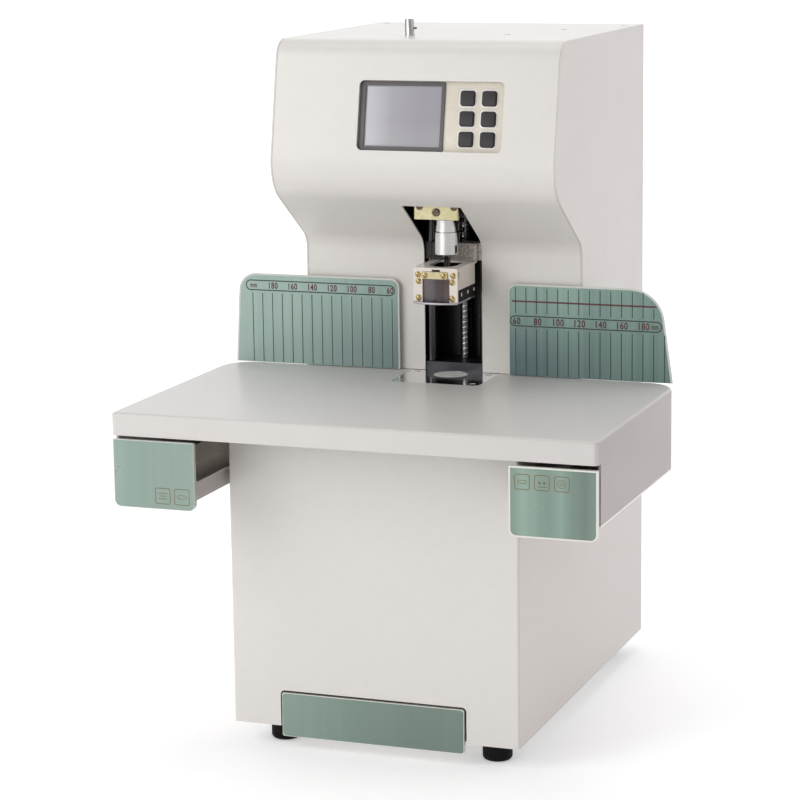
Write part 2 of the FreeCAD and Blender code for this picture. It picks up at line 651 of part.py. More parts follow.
motor = turned([(5.4, 480), (21, 480), (21, 484), (20, 485), (20, 532), (21, 533), (21, 538), (17, 540), (8, 540),
                (8, 545), (0, 545), (0, 500), (5.4, 500)], D.tool_x, D.tool_y)
node("drill_motor", motor)

# ---------------------------------------------------------------- spindle
chuck = turned([(D.shank_r, 425.4), (10.3, 425.4), (D.chuck_r, 426.0), (D.chuck_r, 446.0), (10.5, 446.4), (9.8, 446.4),
                (9.8, 447.0), (D.chuck_neck_r, 447.0), (D.chuck_neck_r, 457.4), (9.8, 458), (5, 458), (5, 498), (0, 498),
                (0, 449), (D.shank_r, 449)],
               D.tool_x, D.tool_y, tag="chuck")
doc.recompute()
eject = fresh("Part::Box", "window")
eject.Length, eject.Width, eject.Height = 14.0, 3.2, 9.2
eject.Placement = FreeCAD.Placement(V(D.tool_x.v, D.tool_y.v, 425.0), Rot(V(0, 0, 1), -21.9)).multiply(
    FreeCAD.Placement(V(5.2, -1.6, 0), Rot()))
node("drill_chuck", cut(chuck, [eject]))
node("hollow_drill", turned([(2.3, 448.9), (2.3, 384.6), (2.5, 384.6), (D.drill_r, 387.5), (D.drill_r, 421), (D.shank_r, 423),
                             (D.shank_r, 448.9)], D.tool_x, D.tool_y))

# ---------------------------------------------------------------- pressing foot
fl = D.foot_low
f0, f1 = D.tool_x - D.foot_half - 0.35, D.tool_x + D.foot_half - 0.45
face = pad("XZ_Plane", [(f0, fl + 2), (f1, fl + 2), (f1, fl + 33), (f0, fl + 33)], -25, -23,
           rounds=[(lambda e: e.BoundBox.YLength > 1 and near(e.BoundBox.ZMin, 417), 1.8, "Fillet")], tag="foot")
frame_solids = [face,
                box(f0, f0 + 2, -23.2, 24, fl + 13, fl + 33), box(f1 - 2, f1, -23.2, 24, fl + 13, fl + 33),
                box(f0, f1, -23.2, 30.6, fl + 31, fl + 33), box(-13, 22, 30, 46.5, fl + 31, fl + 33)]
front_screws = [(-12.4, 410.7), (-12.0, 404.6), (-12.0, 389.7), (21.2, 410.5), (20.1, 404.5), (20.1, 389.7)]
bar_screws = [(-5.2, 410.3), (12.6, 410.3)]
side_screws = [(-13.6, 392.0), (4.3, 392.0), (21.6, 392.0)]
oh = D.opening_half
foot_cut = [box(-8.4, 17.5, -30, -20, fl, fl + 23.4),
            cyl(D.tool_x, -3.5, fl + 25, oh, 15),
            rounded(box(D.tool_x - oh, D.tool_x + oh, -3.5, 25.2, fl + 25, fl + 40),
                    lambda e: vertical(e) and near(e.BoundBox.YMin, 25.2), 3.0),
            box(D.tool_x - 4.0, D.tool_x + 4.0, -30, -22.9, fl + 29.5, fl + 31.6),
            cyl(D.tool_x, cy, fl + 25, 3.5, 15)]
for wall in (f0 - 2, f1 - 3):
    foot_cut += [box(wall, wall + 5, -22.9, -18.9, 408.9, 412.2), cyl(wall, -20.9, 408.9, 2.0, 5, "x"),
                 cyl(wall, -20.9, 412.2, 2.0, 5, "x")]
foot_cut += [cyl(x, -30, z, 1.1, 9, "y") for x, z in front_screws + bar_screws]
node("foot_frame", cut(fuse(frame_solids), foot_cut))


def dome_screw(x, y, z, r, height, shank, core, way):
    """A domed screw with a cross recess: its head stands on the plane y (or x), its shank has the radius core."""
    ball = r * 1.25
    a = Part.makeSphere(ball, V(0, 0, height - ball)).common(Part.makeCylinder(r, height, V(0, 0, 0)))
    a = a.fuse(Part.makeCylinder(core, shank + 0.2, V(0, 0, -shank)))
    wide, deep = r * 0.30, height * 0.62
    a = a.cut(Part.makeBox(1.3 * r, wide, deep, V(-0.65 * r, -wide / 2, height - deep)))
    a = a.cut(Part.makeBox(wide, 1.3 * r, deep, V(-wide / 2, -0.65 * r, height - deep)))
    a.Placement = FreeCAD.Placement(V(x, y, z), Rot(V(0, 0, 1), way))
    return a


head_r = D.screw_head_r.v
heads = [dome_screw(x, -25, z, head_r, 1.6, 2.0, 1.05, V(0, -1, 0)) for x, z in front_screws]
heads += [dome_screw(x, -26.2, z, head_r - 0.1, 1.6, 3.0, 1.05, V(0, -1, 0)) for x, z in bar_screws]
heads += [dome_screw(f1.v, y, z, 2.1, 0.8, 2.0, 0.95, V(1, 0, 0)) for y, z in side_screws]
heads += [dome_screw(f0.v, y, z, 2.1, 0.8, 2.0, 0.95, V(-1, 0, 0)) for y, z in side_screws]
node("foot_screws", feature(Part.makeCompound(heads), "screws"))
bar = rounded(box(-8.5, 15.8, -26.2, -25, 407.1, 413.3), lambda e: e.BoundBox.YLength > 1, 1.0)
node("window_bar", cut(bar, [cyl(x, -30, z, 1.15, 9, "y") for x, z in bar_screws]))
node("foot_window", box(-13.6, 21.6, -22.9, -21.4, fl + 2.2, fl + 26.8))

# the sole: a polished plate whose front edge is an arc
a, b, m = V(f0.v, -25.5, 0), V(f1.v, -25.5, 0), V(D.tool_x.v, -31.0, 0)
edges = [Part.Arc(a, m, b).toShape(), Part.LineSegment(b, V(f1.v, 24, 0)).toShape(),
         Part.LineSegment(V(f1.v, 24, 0), V(f0.v, 24, 0)).toShape(),
         Part.LineSegment(V(f0.v, 24, 0), a).toShape()]
sole = Part.Face(Part.Wire(edges)).extrude(V(0, 0, 2))
sole.translate(V(0, 0, fl.v))
sole = sole.makeFillet(0.9, [e for e in sole.Edges if near(e.BoundBox.ZMax, fl.v) and e.BoundBox.YMin < -25])
sole = sole.cut(Part.makeCylinder(5.0, 6, V(D.tool_x.v, D.tool_y.v, fl.v - 2)))
node("presser_plate", feature(sole, "sole"))
rails = cut(group([box(f0, f0 + 3, -22.9, 24, fl + 2, fl + 13), box(f1 - 3, f1, -22.9, 24, fl + 2, fl + 13)]),
            [cyl(f0 - 5, y, z, 1.0, 60, "x") for y, z in side_screws])
node("guard_rails", rails)
gb = pad("XY_Plane", [(-19, 28), (26, 28), (26, 31.5), (42, 31.5), (42, 46.5), (-33, 46.5), (-33, 31.5), (-19, 31.5)],
         fl + 33, fl + 48.9,
         rounds=[(lambda e: vertical(e) and near(e.BoundBox.YMin, 28), 3.0, "Fillet"),
                 (lambda e: vertical(e) and near(e.BoundBox.YMin, 46.5), 6.0, "Fillet")],
         tag="guide")
ledge = rounded(box(-16, 22, 26.0, 30, fl + 33, fl + 35.8), lambda e: vertical(e) and near(e.BoundBox.YMin, 26.0), 1.5)
gb = fuse([gb, ledge])
node("foot_guide_block", cut(gb, [cyl(x, cy, fl, D.column_r + D.running, 90) for x in cx] + [cyl(D.tool_x, cy, fl, 3.5, 90)]))
node("clamp_rod", turned([(0, 415), (3.5, 415), (3.5, 520.3), (7, 520.3), (7, 525.0), (6.2, 525.8), (0, 525.8)],
                         D.tool_x, cy))
turns = 7
low, high = 434.1, 498.8
helix = Part.makeHelix((high - low) / turns, high - low, 5.5)
prof = Part.Wire([Part.makeCircle(1.0, V(5.5, 0, 0), V(0, 1, 0))])
spring = Part.Wire(helix).makePipeShell([prof], True, True)
spring.Placement = FreeCAD.Placement(V(D.tool_x.v, cy.v, low), Rot())
node("clamp_spring", feature(spring, "spring"))

# ---------------------------------------------------------------- tube guide and feeder
tx, ty = D.tube_x, D.tube_y
tube = turned([(3.0, 602), (4.6, 602), (4.6, 613), (6.4, 613), (6.4, 617.5), (4.6, 618.2), (4.6, 635.4), (4.2, 636.0),
               (3.4, 636.0), (3.0, 635.4)], tx, ty, rounds=[])
node("tube_guide", cut(tube, [cyl(tx + 2, ty, 627.7, 0.9, 4, "x")]))
node("tube_guide_screw", rounded(cyl(tx + 3.1, ty, 627.7, 0.9, 3.6, "x"),
                                 lambda e: e.BoundBox.XLength < 0.01 and near(e.BoundBox.XMin, tx.v + 6.7), 0.3))
feeder = fuse([box(-60, -19, 26, 28.5, D.shelf_top, 602), box(-60, -19, 41.5, 44, D.shelf_top, 602),
               box(-60, -19, 26, 44, D.shelf_top, D.shelf_top + 2), cyl(tx, ty, 556, 4.0, 18)])
feeder = cut(feeder, [cyl(tx + s * 9.0, 20, 588, Q(2.5) + D.running, 30, "y") for s in (-1, 1)] +
             [cyl(tx, ty, 550, 2.8, 30)])
node("tube_feeder", feeder)
for name, s in (("feed_roller", -1), ("pinch_roller", 1)):
    roll = rounded(cyl(tx + s * 9.0, 29, 588, 7.3, 12, "y"), lambda e: e.BoundBox.YLength < 0.01, 0.6)
    axle = cyl(tx + s * 9.0, 25, 588, 2.5, 26 if s < 0 else 20, "y")
    node(name, fuse([roll, axle]))

# ---------------------------------------------------------------- drawers
def tray(xa, xb, ya, yb, za, zb, lips):
    solids = [cut(box(xa, xb, ya, yb, za, zb), [box(q(xa) + 1.2, q(xb) - 1.2, q(ya) + 1.2, q(yb) - 1.2, q(za) + 1.2, q(zb) + 5)])]
    for la, lb in lips:
        solids.append(box(la, lb, ya + 12, yb, zb - 1.2, zb))
    return fuse(solids)


def front(xa, rim, drop):
    foot, head = D.drawer_low - drop, D.drawer_top - drop
    p = pad("XZ_Plane", [(xa, foot), (xa + D.drawer_w, foot), (xa + D.drawer_w, head), (xa, head)],
            D.front_y, D.front_y + 4,
            rounds=[(lambda e: e.BoundBox.YLength > 3 and near(e.BoundBox.ZMin, 230.6 - drop), 6.0, "Fillet"),
                    (lambda e: e.BoundBox.YLength > 3 and near(e.BoundBox.ZMin, 290.3 - drop), 1.0, "Fillet")])
    low, top = foot + rim, head - rim
    pocket = pad("XZ_Plane", [(xa + rim, low), (xa + D.drawer_w - rim, low), (xa + D.drawer_w - rim, top), (xa + rim, top)],
                 D.front_y - 1, D.front_y + 0.4,
                 rounds=[(lambda e: e.BoundBox.YLength > 1 and near(e.BoundBox.ZMin, 230.6 - drop + rim), 6.0 - rim, "Fillet")])
    return cut(p, [pocket])


yb, ye = D.front_y + 4, -40.0
node("left_drawer_front", front(D.drawer_left_x, 0.6, 0.0))
node("left_drawer_tray", tray(-209.4, -148.0, yb, ye, 235.7, 254.2, [(-213.9, -208.8), (-148.6, -143.6)]))
node("right_drawer_front", front(D.drawer_right_x, 1.4, 1.0))
node("right_drawer_tray", tray(146.5, 208.6, yb, ye, 235.7, 254.2, [(142.4, 147.1), (208.0, 213.4)]))


def angle(xw, xo, ya, yb2, za):
    """A runner: a leg on the wall at xw and a ledge out to xo."""
    s = 1 if xo > xw else -1
    leg = box(min(xw, xw + s), max(xw, xw + s), ya, yb2, za, za + 12)
    ledge = box(min(xw, xo), max(xw, xo), ya, yb2, za, za + 1.6)
    return fuse([leg, ledge])


node("drawer_runners", group([
    angle(-217.2, -211.0, -222.0, -10.0, 251.1), angle(-142.0, -146.6, -160.0, -10.0, 251.1),
    angle(215.2, 210.3, -222.0, -10.0, 251.1), angle(126.5, 145.0, -160.0, -10.0, 251.1),
    box(-96.4, -93.4, -150, -16, D.base_low + 2, D.base_low + 15),
    box(73.4, 76.4, -150, -16, D.base_low + 2, D.base_low + 15)]))
scrap = pad("XZ_Plane", [(-95.3, 11.4), (76.0, 11.4), (76.0, D.scrap_top - 1.8), (-95.3, D.scrap_top - 1.8)], -166, -162,
            rounds=[(lambda e: e.BoundBox.YLength > 3, 2.0, "Fillet"),
                    (lambda e: near(e.BoundBox.YMax, -166.0), 0.8, "Fillet")])
node("scrap_drawer_front", scrap)
node("scrap_drawer_tray", tray(-93.0, 73.0, Q(-162), Q(-20), 22.9, 50.0, []))

# ---------------------------------------------------------------- power
module = fuse([box(30, 105, 235.5, 238, 59, 91), box(62, 97, 237, 240, 63, 87),
               box(32.7, 94.3, 206, 235.6, 61.7, 88.3)])
module = rounded(module, lambda e: e.BoundBox.YLength > 1 and (near(e.BoundBox.XMin, 30) or near(e.BoundBox.XMin, 105)), 3.0)
module = cut(module, [box(66.3, 92.7, 218, 245, 65.5, 84.5),
                      box(36.2, 55.8, 216, 245, 62.9, 87.1),
                      cyl(33.9, 230, 75, 1.55, 24.2, "x")])
pins = [box(71.5, 73.5, 217, 235, 71, 75), box(85.5, 87.5, 217, 235, 71, 75), box(78.5, 80.5, 217, 235, 75, 79)]
node("power_inlet", fuse([module] + pins))
rocker = pad("YZ_Plane", [(-9, -9.6), (4, -10.4), (7.0, -10.4), (5.2, 0), (7.0, 10.4), (4, 10.4), (-9, 9.6)], -9.4, 9.4)
rocker.Placement = FreeCAD.Placement(V(46, 230, 75), Rot(V(1, 0, 0), -7))
pivot = cyl(34.4, 230, 75, 1.5, 23.2, "x")
node("power_rocker", fuse([rocker, pivot]))
psu = rounded(box(15, 110, 100, 190, D.base_low + 6, 72), vertical, 2.0)
psu_feet = [cyl(x, y, D.base_low + 2, 4, 4.2) for x in (24, 101) for y in (110, 180)]
psu_top = [box(25 + 9 * k, 29 + 9 * k, 112, 178, 70.5, 75) for k in range(9)]
node("power_supply", cut(fuse([psu] + psu_feet), psu_top))

# ---------------------------------------------------------------- check and write
doc.recompute()
bad = []
for o in doc.Objects:
    for s in o.State:
        if s in ("Invalid", "Error"):
            bad.append((o.Name, o.State))
names = set()
for name, o in NODES:
    o.Label = name
    names.add(name)
    if o.Shape.isNull() or not o.Shape.isValid() or not o.Shape.Solids:
        bad.append((name, "shape"))
if bad:
    raise RuntimeError("failed: %r" % bad)
if len(names) != len(NODES) or len(NODES) > 60:
    raise RuntimeError("node count %d" % len(NODES))
for name, o in NODES:
    o.Shape.exportStep("parts/%s.step" % name)
    b = o.Shape.optimalBoundingBox(False)
    print("%-22s solids %2d  vol %11.1f  x %.1f %.1f  y %.1f %.1f  z %.1f %.1f"
          % (name, len(o.Shape.Solids), o.Shape.Volume, b.XMin, b.XMax, b.YMin, b.YMax, b.ZMin, b.ZMax))
print("nodes", len(NODES))
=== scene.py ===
import math
import random
import bpy
import bmesh
from mathutils import Matrix, Vector


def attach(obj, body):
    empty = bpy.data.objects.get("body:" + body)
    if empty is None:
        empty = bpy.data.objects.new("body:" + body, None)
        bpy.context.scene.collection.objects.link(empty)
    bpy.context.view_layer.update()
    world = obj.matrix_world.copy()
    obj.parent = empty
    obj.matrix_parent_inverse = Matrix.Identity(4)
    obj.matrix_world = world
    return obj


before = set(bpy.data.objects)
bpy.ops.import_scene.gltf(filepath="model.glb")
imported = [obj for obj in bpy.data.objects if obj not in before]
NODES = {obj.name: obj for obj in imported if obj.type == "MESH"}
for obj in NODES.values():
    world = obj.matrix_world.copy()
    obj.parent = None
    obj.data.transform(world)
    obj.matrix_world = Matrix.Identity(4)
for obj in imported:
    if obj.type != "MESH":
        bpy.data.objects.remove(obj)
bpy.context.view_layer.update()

scene = bpy.context.scene
MM = 0.001


# ------------------------------------------------------------------ camera
def aim_camera():
    yaw, pitch, roll = math.radians(20.2616), math.radians(11.0841), math.radians(-0.7573)
    fwd = Vector((-math.sin(yaw) * math.cos(pitch), math.cos(yaw) * math.cos(pitch), -math.sin(pitch)))
    right = fwd.cross(Vector((0, 0, 1))).normalized()
    up = right.cross(fwd)
    r = right * math.cos(roll) + up * math.sin(roll)
    u = -right * math.sin(roll) + up * math.cos(roll)
    cam = bpy.data.cameras.new("view_camera")
    cam.sensor_width = 36.0
    cam.sensor_fit = "HORIZONTAL"
    cam.lens = 2726.265 / 800 * 36.0
    cam.clip_start, cam.clip_end = 0.05, 60
    o = bpy.data.objects.new("view_camera", cam)
    scene.collection.objects.link(o)
    m = Matrix((r, u, -fwd)).transposed().to_4x4()
    m.translation = Vector((0.81480, -2.31719, 0.77274))
    o.matrix_world = m
    scene.camera = o


aim_camera()


# ------------------------------------------------------------------ material helpers
class Tree:
    def __init__(self, name):
        self.mat = bpy.data.materials.new(name)
        self.mat.use_nodes = True
        self.t = self.mat.node_tree
        self.t.nodes.clear()
        self.out = self.t.nodes.new("ShaderNodeOutputMaterial")
        self.b = self.t.nodes.new("ShaderNodeBsdfPrincipled")
        self.t.links.new(self.b.outputs[0], self.out.inputs[0])
        self.co = self.t.nodes.new("ShaderNodeTexCoord").outputs["Object"]

    def set(self, **kw):
        for k, v in kw.items():
            self.b.inputs[k.replace("_", " ")].default_value = v
        return self

    def node(self, kind, inputs=(), **props):
        n = self.t.nodes.new(kind)
        for k, v in props.items():
            setattr(n, k, v)
        for k, v in dict(inputs).items():
            if isinstance(v, bpy.types.NodeSocket):
                self.t.links.new(v, n.inputs[k])
            else:
                n.inputs[k].default_value = v
        return n

    def mapped(self, scale=(1, 1, 1), loc=(0, 0, 0), rot=(0, 0, 0)):
        return self.node("ShaderNodeMapping", {"Vector": self.co, "Scale": scale, "Location": loc,
                                               "Rotation": rot}).outputs[0]

    def noise(self, scale, detail=2.0, rough=0.5, vector=None, distortion=0.0):
        return self.node("ShaderNodeTexNoise", {"Vector": vector or self.co, "Scale": scale, "Detail": detail,
                                                "Roughness": rough, "Distortion": distortion}).outputs["Fac"]

    def ramp(self, fac, *stops):
        n = self.node("ShaderNodeValToRGB", {"Fac": fac})
        e = n.color_ramp.elements
        while len(e) < len(stops):
            e.new(0.5)
        for el, (pos, col) in zip(e, stops):
            el.position = pos
            el.color = (*col, 1) if len(col) == 3 else col
        return n.outputs["Color"]

    def span(self, value, a, b, lo, hi):
        return self.node("ShaderNodeMapRange", {"Value": value, "From Min": a, "From Max": b, "To Min": lo,
                                                "To Max": hi}).outputs["Result"]

    def mix(self, fac, a, b, kind="MIX"):
        n = self.node("ShaderNodeMix", data_type="RGBA", blend_type=kind)
        for i, v in ((0, fac), (6, a), (7, b)):
            if isinstance(v, bpy.types.NodeSocket):
                self.t.links.new(v, n.inputs[i])
            elif i == 0:
                n.inputs[0].default_value = v
            else:
                n.inputs[i].default_value = (*v, 1) if len(v) == 3 else v
        return n.outputs[2]

    def axis(self, which, vector=None):
        return self.node("ShaderNodeSeparateXYZ", {"Vector": vector or self.co}).outputs[which]

    def bump(self, height, strength, distance, normal=None):
        inp = {"Height": height, "Strength": strength, "Distance": distance}
        if normal is not None:
            inp["Normal"] = normal
        return self.node("ShaderNodeBump", inp).outputs["Normal"]

    def color(self, socket):
        self.t.links.new(socket, self.b.inputs["Base Color"])
        return self

    def rough(self, socket):
        self.t.links.new(socket, self.b.inputs["Roughness"])
        return self

    def normal(self, socket):
        self.t.links.new(socket, self.b.inputs["Normal"])
        return self


def lin(r, g, b):
    return tuple(((c / 255) / 12.92 if c / 255 <= 0.04045 else ((c / 255 + 0.055) / 1.055) ** 2.4) for c in (r, g, b))


def scaled(c, k):
    return tuple(min(1.0, v * k) for v in c)


def scaled3(c, k):
    return tuple(min(1.0, v * w) for v, w in zip(c, k))


def paint(name, base, rough=0.36, peel=1.0, coat=0.25, shade_box=None, sides=None, crease_shade=None, glow=None, hem_highlight=None):
    """Baked enamel on sheet steel: orange peel, faint mottling, slightly uneven gloss."""
    t = Tree(name)
    broad = t.noise(5.5, 3.0, 0.55)
    fine = t.noise(95.0, 4.0, 0.6)
    tone = t.ramp(broad, (0.30, scaled(base, 0.988)), (0.52, base), (0.75, scaled(base, 1.008)))
    speck = t.ramp(fine, (0.36, scaled(base, 0.975)), (0.50, base), (0.66, scaled(base, 1.015)))
    c = t.mix(0.40, tone, speck)
    if shade_box:
        # painted shade on the faces that lie within this box, under the table: darkest deep in and high up, where
        # little light reaches
        mask = None
        for name_of, lo_, hi_ in (("X", shade_box[0], shade_box[1]), ("Y", shade_box[2], shade_box[3]), ("Z", shade_box[4], shade_box[5])):
            v = t.axis(name_of)
            for a, b in ((lo_ - 0.0002, lo_ + 0.0002), (hi_ + 0.0002, hi_ - 0.0002)):
                m = t.span(v, a, b, 0.0, 1.0)
                mask = m if mask is None else t.node("ShaderNodeMath", {0: mask, 1: m}, operation="MULTIPLY").outputs[0]
        # not on the outer round of the two rear corners, which lies in the same box
        def op(kind, a, b=0.0):
            return t.node("ShaderNodeMath", {0: a, 1: b}, operation=kind).outputs[0]
        bx = op("MAXIMUM", op("MAXIMUM", op("SUBTRACT", shade_box[0] + 0.0286, t.axis("X")), op("SUBTRACT", t.axis("X"), shade_box[1] - 0.0286)), 0.0)
        by = op("MAXIMUM", op("ADD", t.axis("Y"), 0.004), 0.0)
        far = op("SQRT", op("ADD", op("MULTIPLY", bx, bx), op("MULTIPLY", by, by)))
        mask = op("MULTIPLY", mask, t.span(far, 0.0288, 0.0292, 1.0, 0.0))
        deep = t.span(t.axis("Y"), -0.075, 0.0, 1.0, 0.1)
        high = t.span(t.axis("Z"), 0.288, 0.302, 1.0, 0.22)
        shade = t.node("ShaderNodeMath", {0: deep, 1: high}, operation="MULTIPLY").outputs[0]
        c = t.mix(mask, c, t.mix(shade, scaled(base, 0.03), scaled(base, 1.0)))
    if sides:
        # painted shade: the faces past these two planes are made a shade darker and warmer, as they get less light
        x = t.axis("X")
        soft = sides[3] if len(sides) > 3 else 0.0
        m = t.node("ShaderNodeMath", {0: t.span(x, sides[0] - 0.0006, sides[0] + 0.0006 + soft, 1.0, 0.0),
                                      1: t.span(x, sides[1] - 0.0006 - soft, sides[1] + 0.0006, 0.0, 1.0)}, operation="ADD").outputs[0]
        if soft:
            # it fades round the rear corners, and stops below the top and behind the apron's face
            for which, a, b, lo_, hi_ in (("Z", 0.3106, 0.3126, 1.0, 0.0), ("Y", -0.2354, -0.2344, 0.0, 1.0)):
                m = t.node("ShaderNodeMath", {0: m, 1: t.span(t.axis(which), a, b, lo_, hi_)}, operation="MULTIPLY").outputs[0]
        if hem_highlight:
            # painted highlight: the bottom edge of the side walls is made bright, as where it catches the light
            up = t.span(t.axis("Z"), hem_highlight, hem_highlight + 0.0002, 0.0, 1.0)
            edge = t.node("ShaderNodeMath", {0: m, 1: t.node("ShaderNodeMath", {0: 1.0, 1: up}, operation="SUBTRACT").outputs[0]},
                          operation="MULTIPLY").outputs[0]
            c = t.mix(edge, c, lin(252, 249, 246))
            m = t.node("ShaderNodeMath", {0: m, 1: up}, operation="MULTIPLY").outputs[0]
        c = t.mix(m, c, t.mix(1.0, c, sides[2], "MULTIPLY"))
    if crease_shade:
        # painted shade, and some dirt, in seams, slots and round screw heads
        shut = t.node("ShaderNodeAmbientOcclusion", {"Distance": crease_shade[0]}, samples=8).outputs["AO"]
        c = t.mix(t.span(shut, crease_shade[1], crease_shade[2], 1.0, 0.0), c, t.mix(1.0, c, crease_shade[3], "MULTIPLY"))
    t.color(c)
    if glow:
        # painted light: a faint emission that stands in for light coming back from the tray's own bright end, fading to
        # the right
        x, z = t.axis("X"), t.axis("Z")
        k = t.node("ShaderNodeMath", {0: t.span(x, glow[0], glow[1], 0.42, 0.03),
                                      1: t.span(x, glow[0] - 0.0005, glow[0] - 0.0003, 0.0, 1.0)}, operation="MULTIPLY").outputs[0]
        k = t.node("ShaderNodeMath", {0: k, 1: t.span(z, glow[2], glow[2] + 0.0002, 0.0, 1.0)}, operation="MULTIPLY").outputs[0]
        t.set(Emission_Color=(*glow[3], 1))
        t.t.links.new(k, t.b.inputs["Emission Strength"])
    t.rough(t.span(t.noise(22.0, 4.0, 0.6), 0.3, 0.7, rough - 0.02, rough + 0.03))
    n = t.bump(t.noise(720.0, 2.0, 0.45), 0.10 * peel, 0.00025)
    n = t.bump(t.noise(130.0, 2.0, 0.5), 0.035 * peel, 0.0006, n)
    t.normal(n)
    t.set(Coat_Weight=coat, Coat_Roughness=0.22, Specular_IOR_Level=0.45)
    return t.mat


IVORY = paint("ivory_enamel", lin(224, 220, 215))
# painted shade: a darker copy of the enamel for the head's side panels
IVORY_SIDE_SHADED = paint("side_enamel_shaded", scaled3(lin(224, 220, 215), (0.90, 0.87, 0.868)))
# painted shade in seams and on the cabinet's side faces
IVORY_BASE = paint("cabinet_enamel", lin(222, 218, 213), crease_shade=(0.004, 0.20, 0.45, (0.12, 0.10, 0.09)),
                   sides=(-0.1413, 0.1258, (0.92, 0.88, 0.877)))
# painted shade under the table and on its side walls, and a painted highlight along their bottom edge
IVORY_TABLE = paint("table_enamel", lin(212, 208, 204), rough=0.40, peel=1.2,
                    shade_box=(-0.2178, 0.2158, -0.2368, 0.0245, 0.2, 0.3116), sides=(-0.2188, 0.2168, (0.63, 0.58, 0.59), 0.024),
                    hem_highlight=0.2406)
GALV = paint("tray_enamel", lin(176, 170, 168), rough=0.34, peel=0.8, coat=0.1)
# painted light: the left tray glows faintly, strongest at its left end and fading to the right
GALV_L_GLOW = paint("tray_enamel_left_glow", lin(176, 170, 168), rough=0.34, peel=0.8, coat=0.1,
               glow=(-0.2083, -0.176, 0.2364, lin(112, 107, 99)))
RIM = paint("rim_enamel", lin(232, 230, 222), rough=0.30, peel=0.5)
# painted shade on the edge faces of the left drawer front, in the gap
RIM_L = paint("rim_enamel_left_shaded", lin(222, 222, 214), rough=0.30, peel=0.5, sides=(-0.2167, -0.1411, (0.36, 0.38, 0.36)))
# painted shade in the gaps round the scrap drawer front
RIM_S = paint("rim_enamel_scrap_shaded", lin(232, 230, 222), rough=0.30, peel=0.5, crease_shade=(0.006, 0.50, 0.72, (0.05, 0.045, 0.04)))
FENCE_RIM = paint("fence_enamel", lin(210, 211, 203), rough=0.30, peel=0.5)
# painted shade in the foot's seams, slots and round its screws
FOOT_PAINT = paint("foot_enamel", lin(236, 227, 217), rough=0.30, peel=0.8, coat=0.4,
                   crease_shade=(0.0016, 0.42, 0.80, (0.17, 0.115, 0.08)))


def block_finish():
    """Grey phosphate on the guide block, with painted shade: dark on the left half, which lies in shadow, and lighter
    to the right, where light falls.
    """
    t = Tree("guide_block_shaded")
    x = t.span(t.axis("X"), -0.006, 0.012, 0.0, 1.0)
    grit = t.noise(520.0, 4.0, 0.7)
    dark = t.ramp(grit, (0.35, lin(38, 34, 33)), (0.65, lin(54, 49, 47)))
    light = t.ramp(grit, (0.30, lin(150, 142, 134)), (0.52, lin(196, 187, 178)), (0.72, lin(240, 234, 226)))
    t.color(t.mix(x, dark, light))
    t.rough(t.span(t.noise(150.0, 3.0, 0.6), 0.3, 0.7, 0.36, 0.5))
    t.normal(t.bump(grit, 0.30, 0.0003))
    t.set(Metallic=0.2, Specular_IOR_Level=0.35)
    return t.mat


BLOCK_SHADED = block_finish()


def film(name, base, dark, light, bands=26.0, phase=0.0, across=None):
    """Printed polyester film with a metallic ground: painted sheen in soft upright bands, and a fine grain."""
    t = Tree(name)
    wide = t.noise(1.0, 2.0, 0.4, t.mapped((bands, 0.0, 1.2), (phase, 0, 0)))
    thin = t.noise(1.0, 2.0, 0.6, t.mapped((bands * 9, 0.0, 3.0), (phase, 0, 0)))
    c = t.ramp(wide, (0.25, dark), (0.5, base), (0.78, light))
    c = t.mix(0.22, c, t.ramp(thin, (0.3, scaled(base, 0.86)), (0.7, scaled(base, 1.12))))
    grain = t.noise(2600.0, 1.0, 0.5)
    c = t.mix(0.10, c, t.ramp(grain, (0.35, scaled(base, 0.8)), (0.65, scaled(base, 1.2))))
    if across:
        # painted sheen: the metallic ground is made lighter and darker from one end of the plate to the other
        x = t.span(t.axis("X"), across[0], across[1], 0.0, 1.0)
        c = t.mix(1.0, c, t.ramp(x, *[(at, (k, k, k * 0.985)) for at, k in across[2]]), "MULTIPLY")
    t.color(c)
    t.rough(t.span(t.noise(60.0, 3.0, 0.6), 0.3, 0.7, 0.27, 0.36))
    t.normal(t.bump(t.noise(1.0, 2.0, 0.5, t.mapped((900, 900, 60))), 0.05, 0.0001))
    t.set(Metallic=0.25, Coat_Weight=0.6, Coat_Roughness=0.14, Specular_IOR_Level=0.5)
    return t.mat


# the three drawer films, with painted sheen bands and painted lighter and darker stretches from end to end
GREEN_L = film("green_film_left", lin(138, 160, 150), lin(128, 150, 141), lin(150, 170, 159), 18.0, 0.3,
               across=(-0.2159, -0.1415, ((0.0, 1.0), (0.35, 0.90), (0.7, 0.84), (1.0, 0.92))))
GREEN_R = film("green_film_right", lin(138, 162, 149), lin(120, 145, 133), lin(160, 178, 164), 30.0, 1.1,
               across=(0.1437, 0.2165, ((0.0, 0.80), (0.14, 1.0), (0.30, 0.86), (0.46, 0.80), (0.60, 1.0), (0.72, 0.74), (0.88, 0.56), (1.0, 0.74))))
GREEN_S = film("green_film_scrap", lin(128, 150, 139), lin(118, 140, 130), lin(138, 159, 148), 9.0, 0.8,
               across=(-0.0946, 0.0753, ((0.0, 1.0), (0.12, 1.0), (0.42, 0.82), (0.70, 0.70), (1.0, 0.66))))


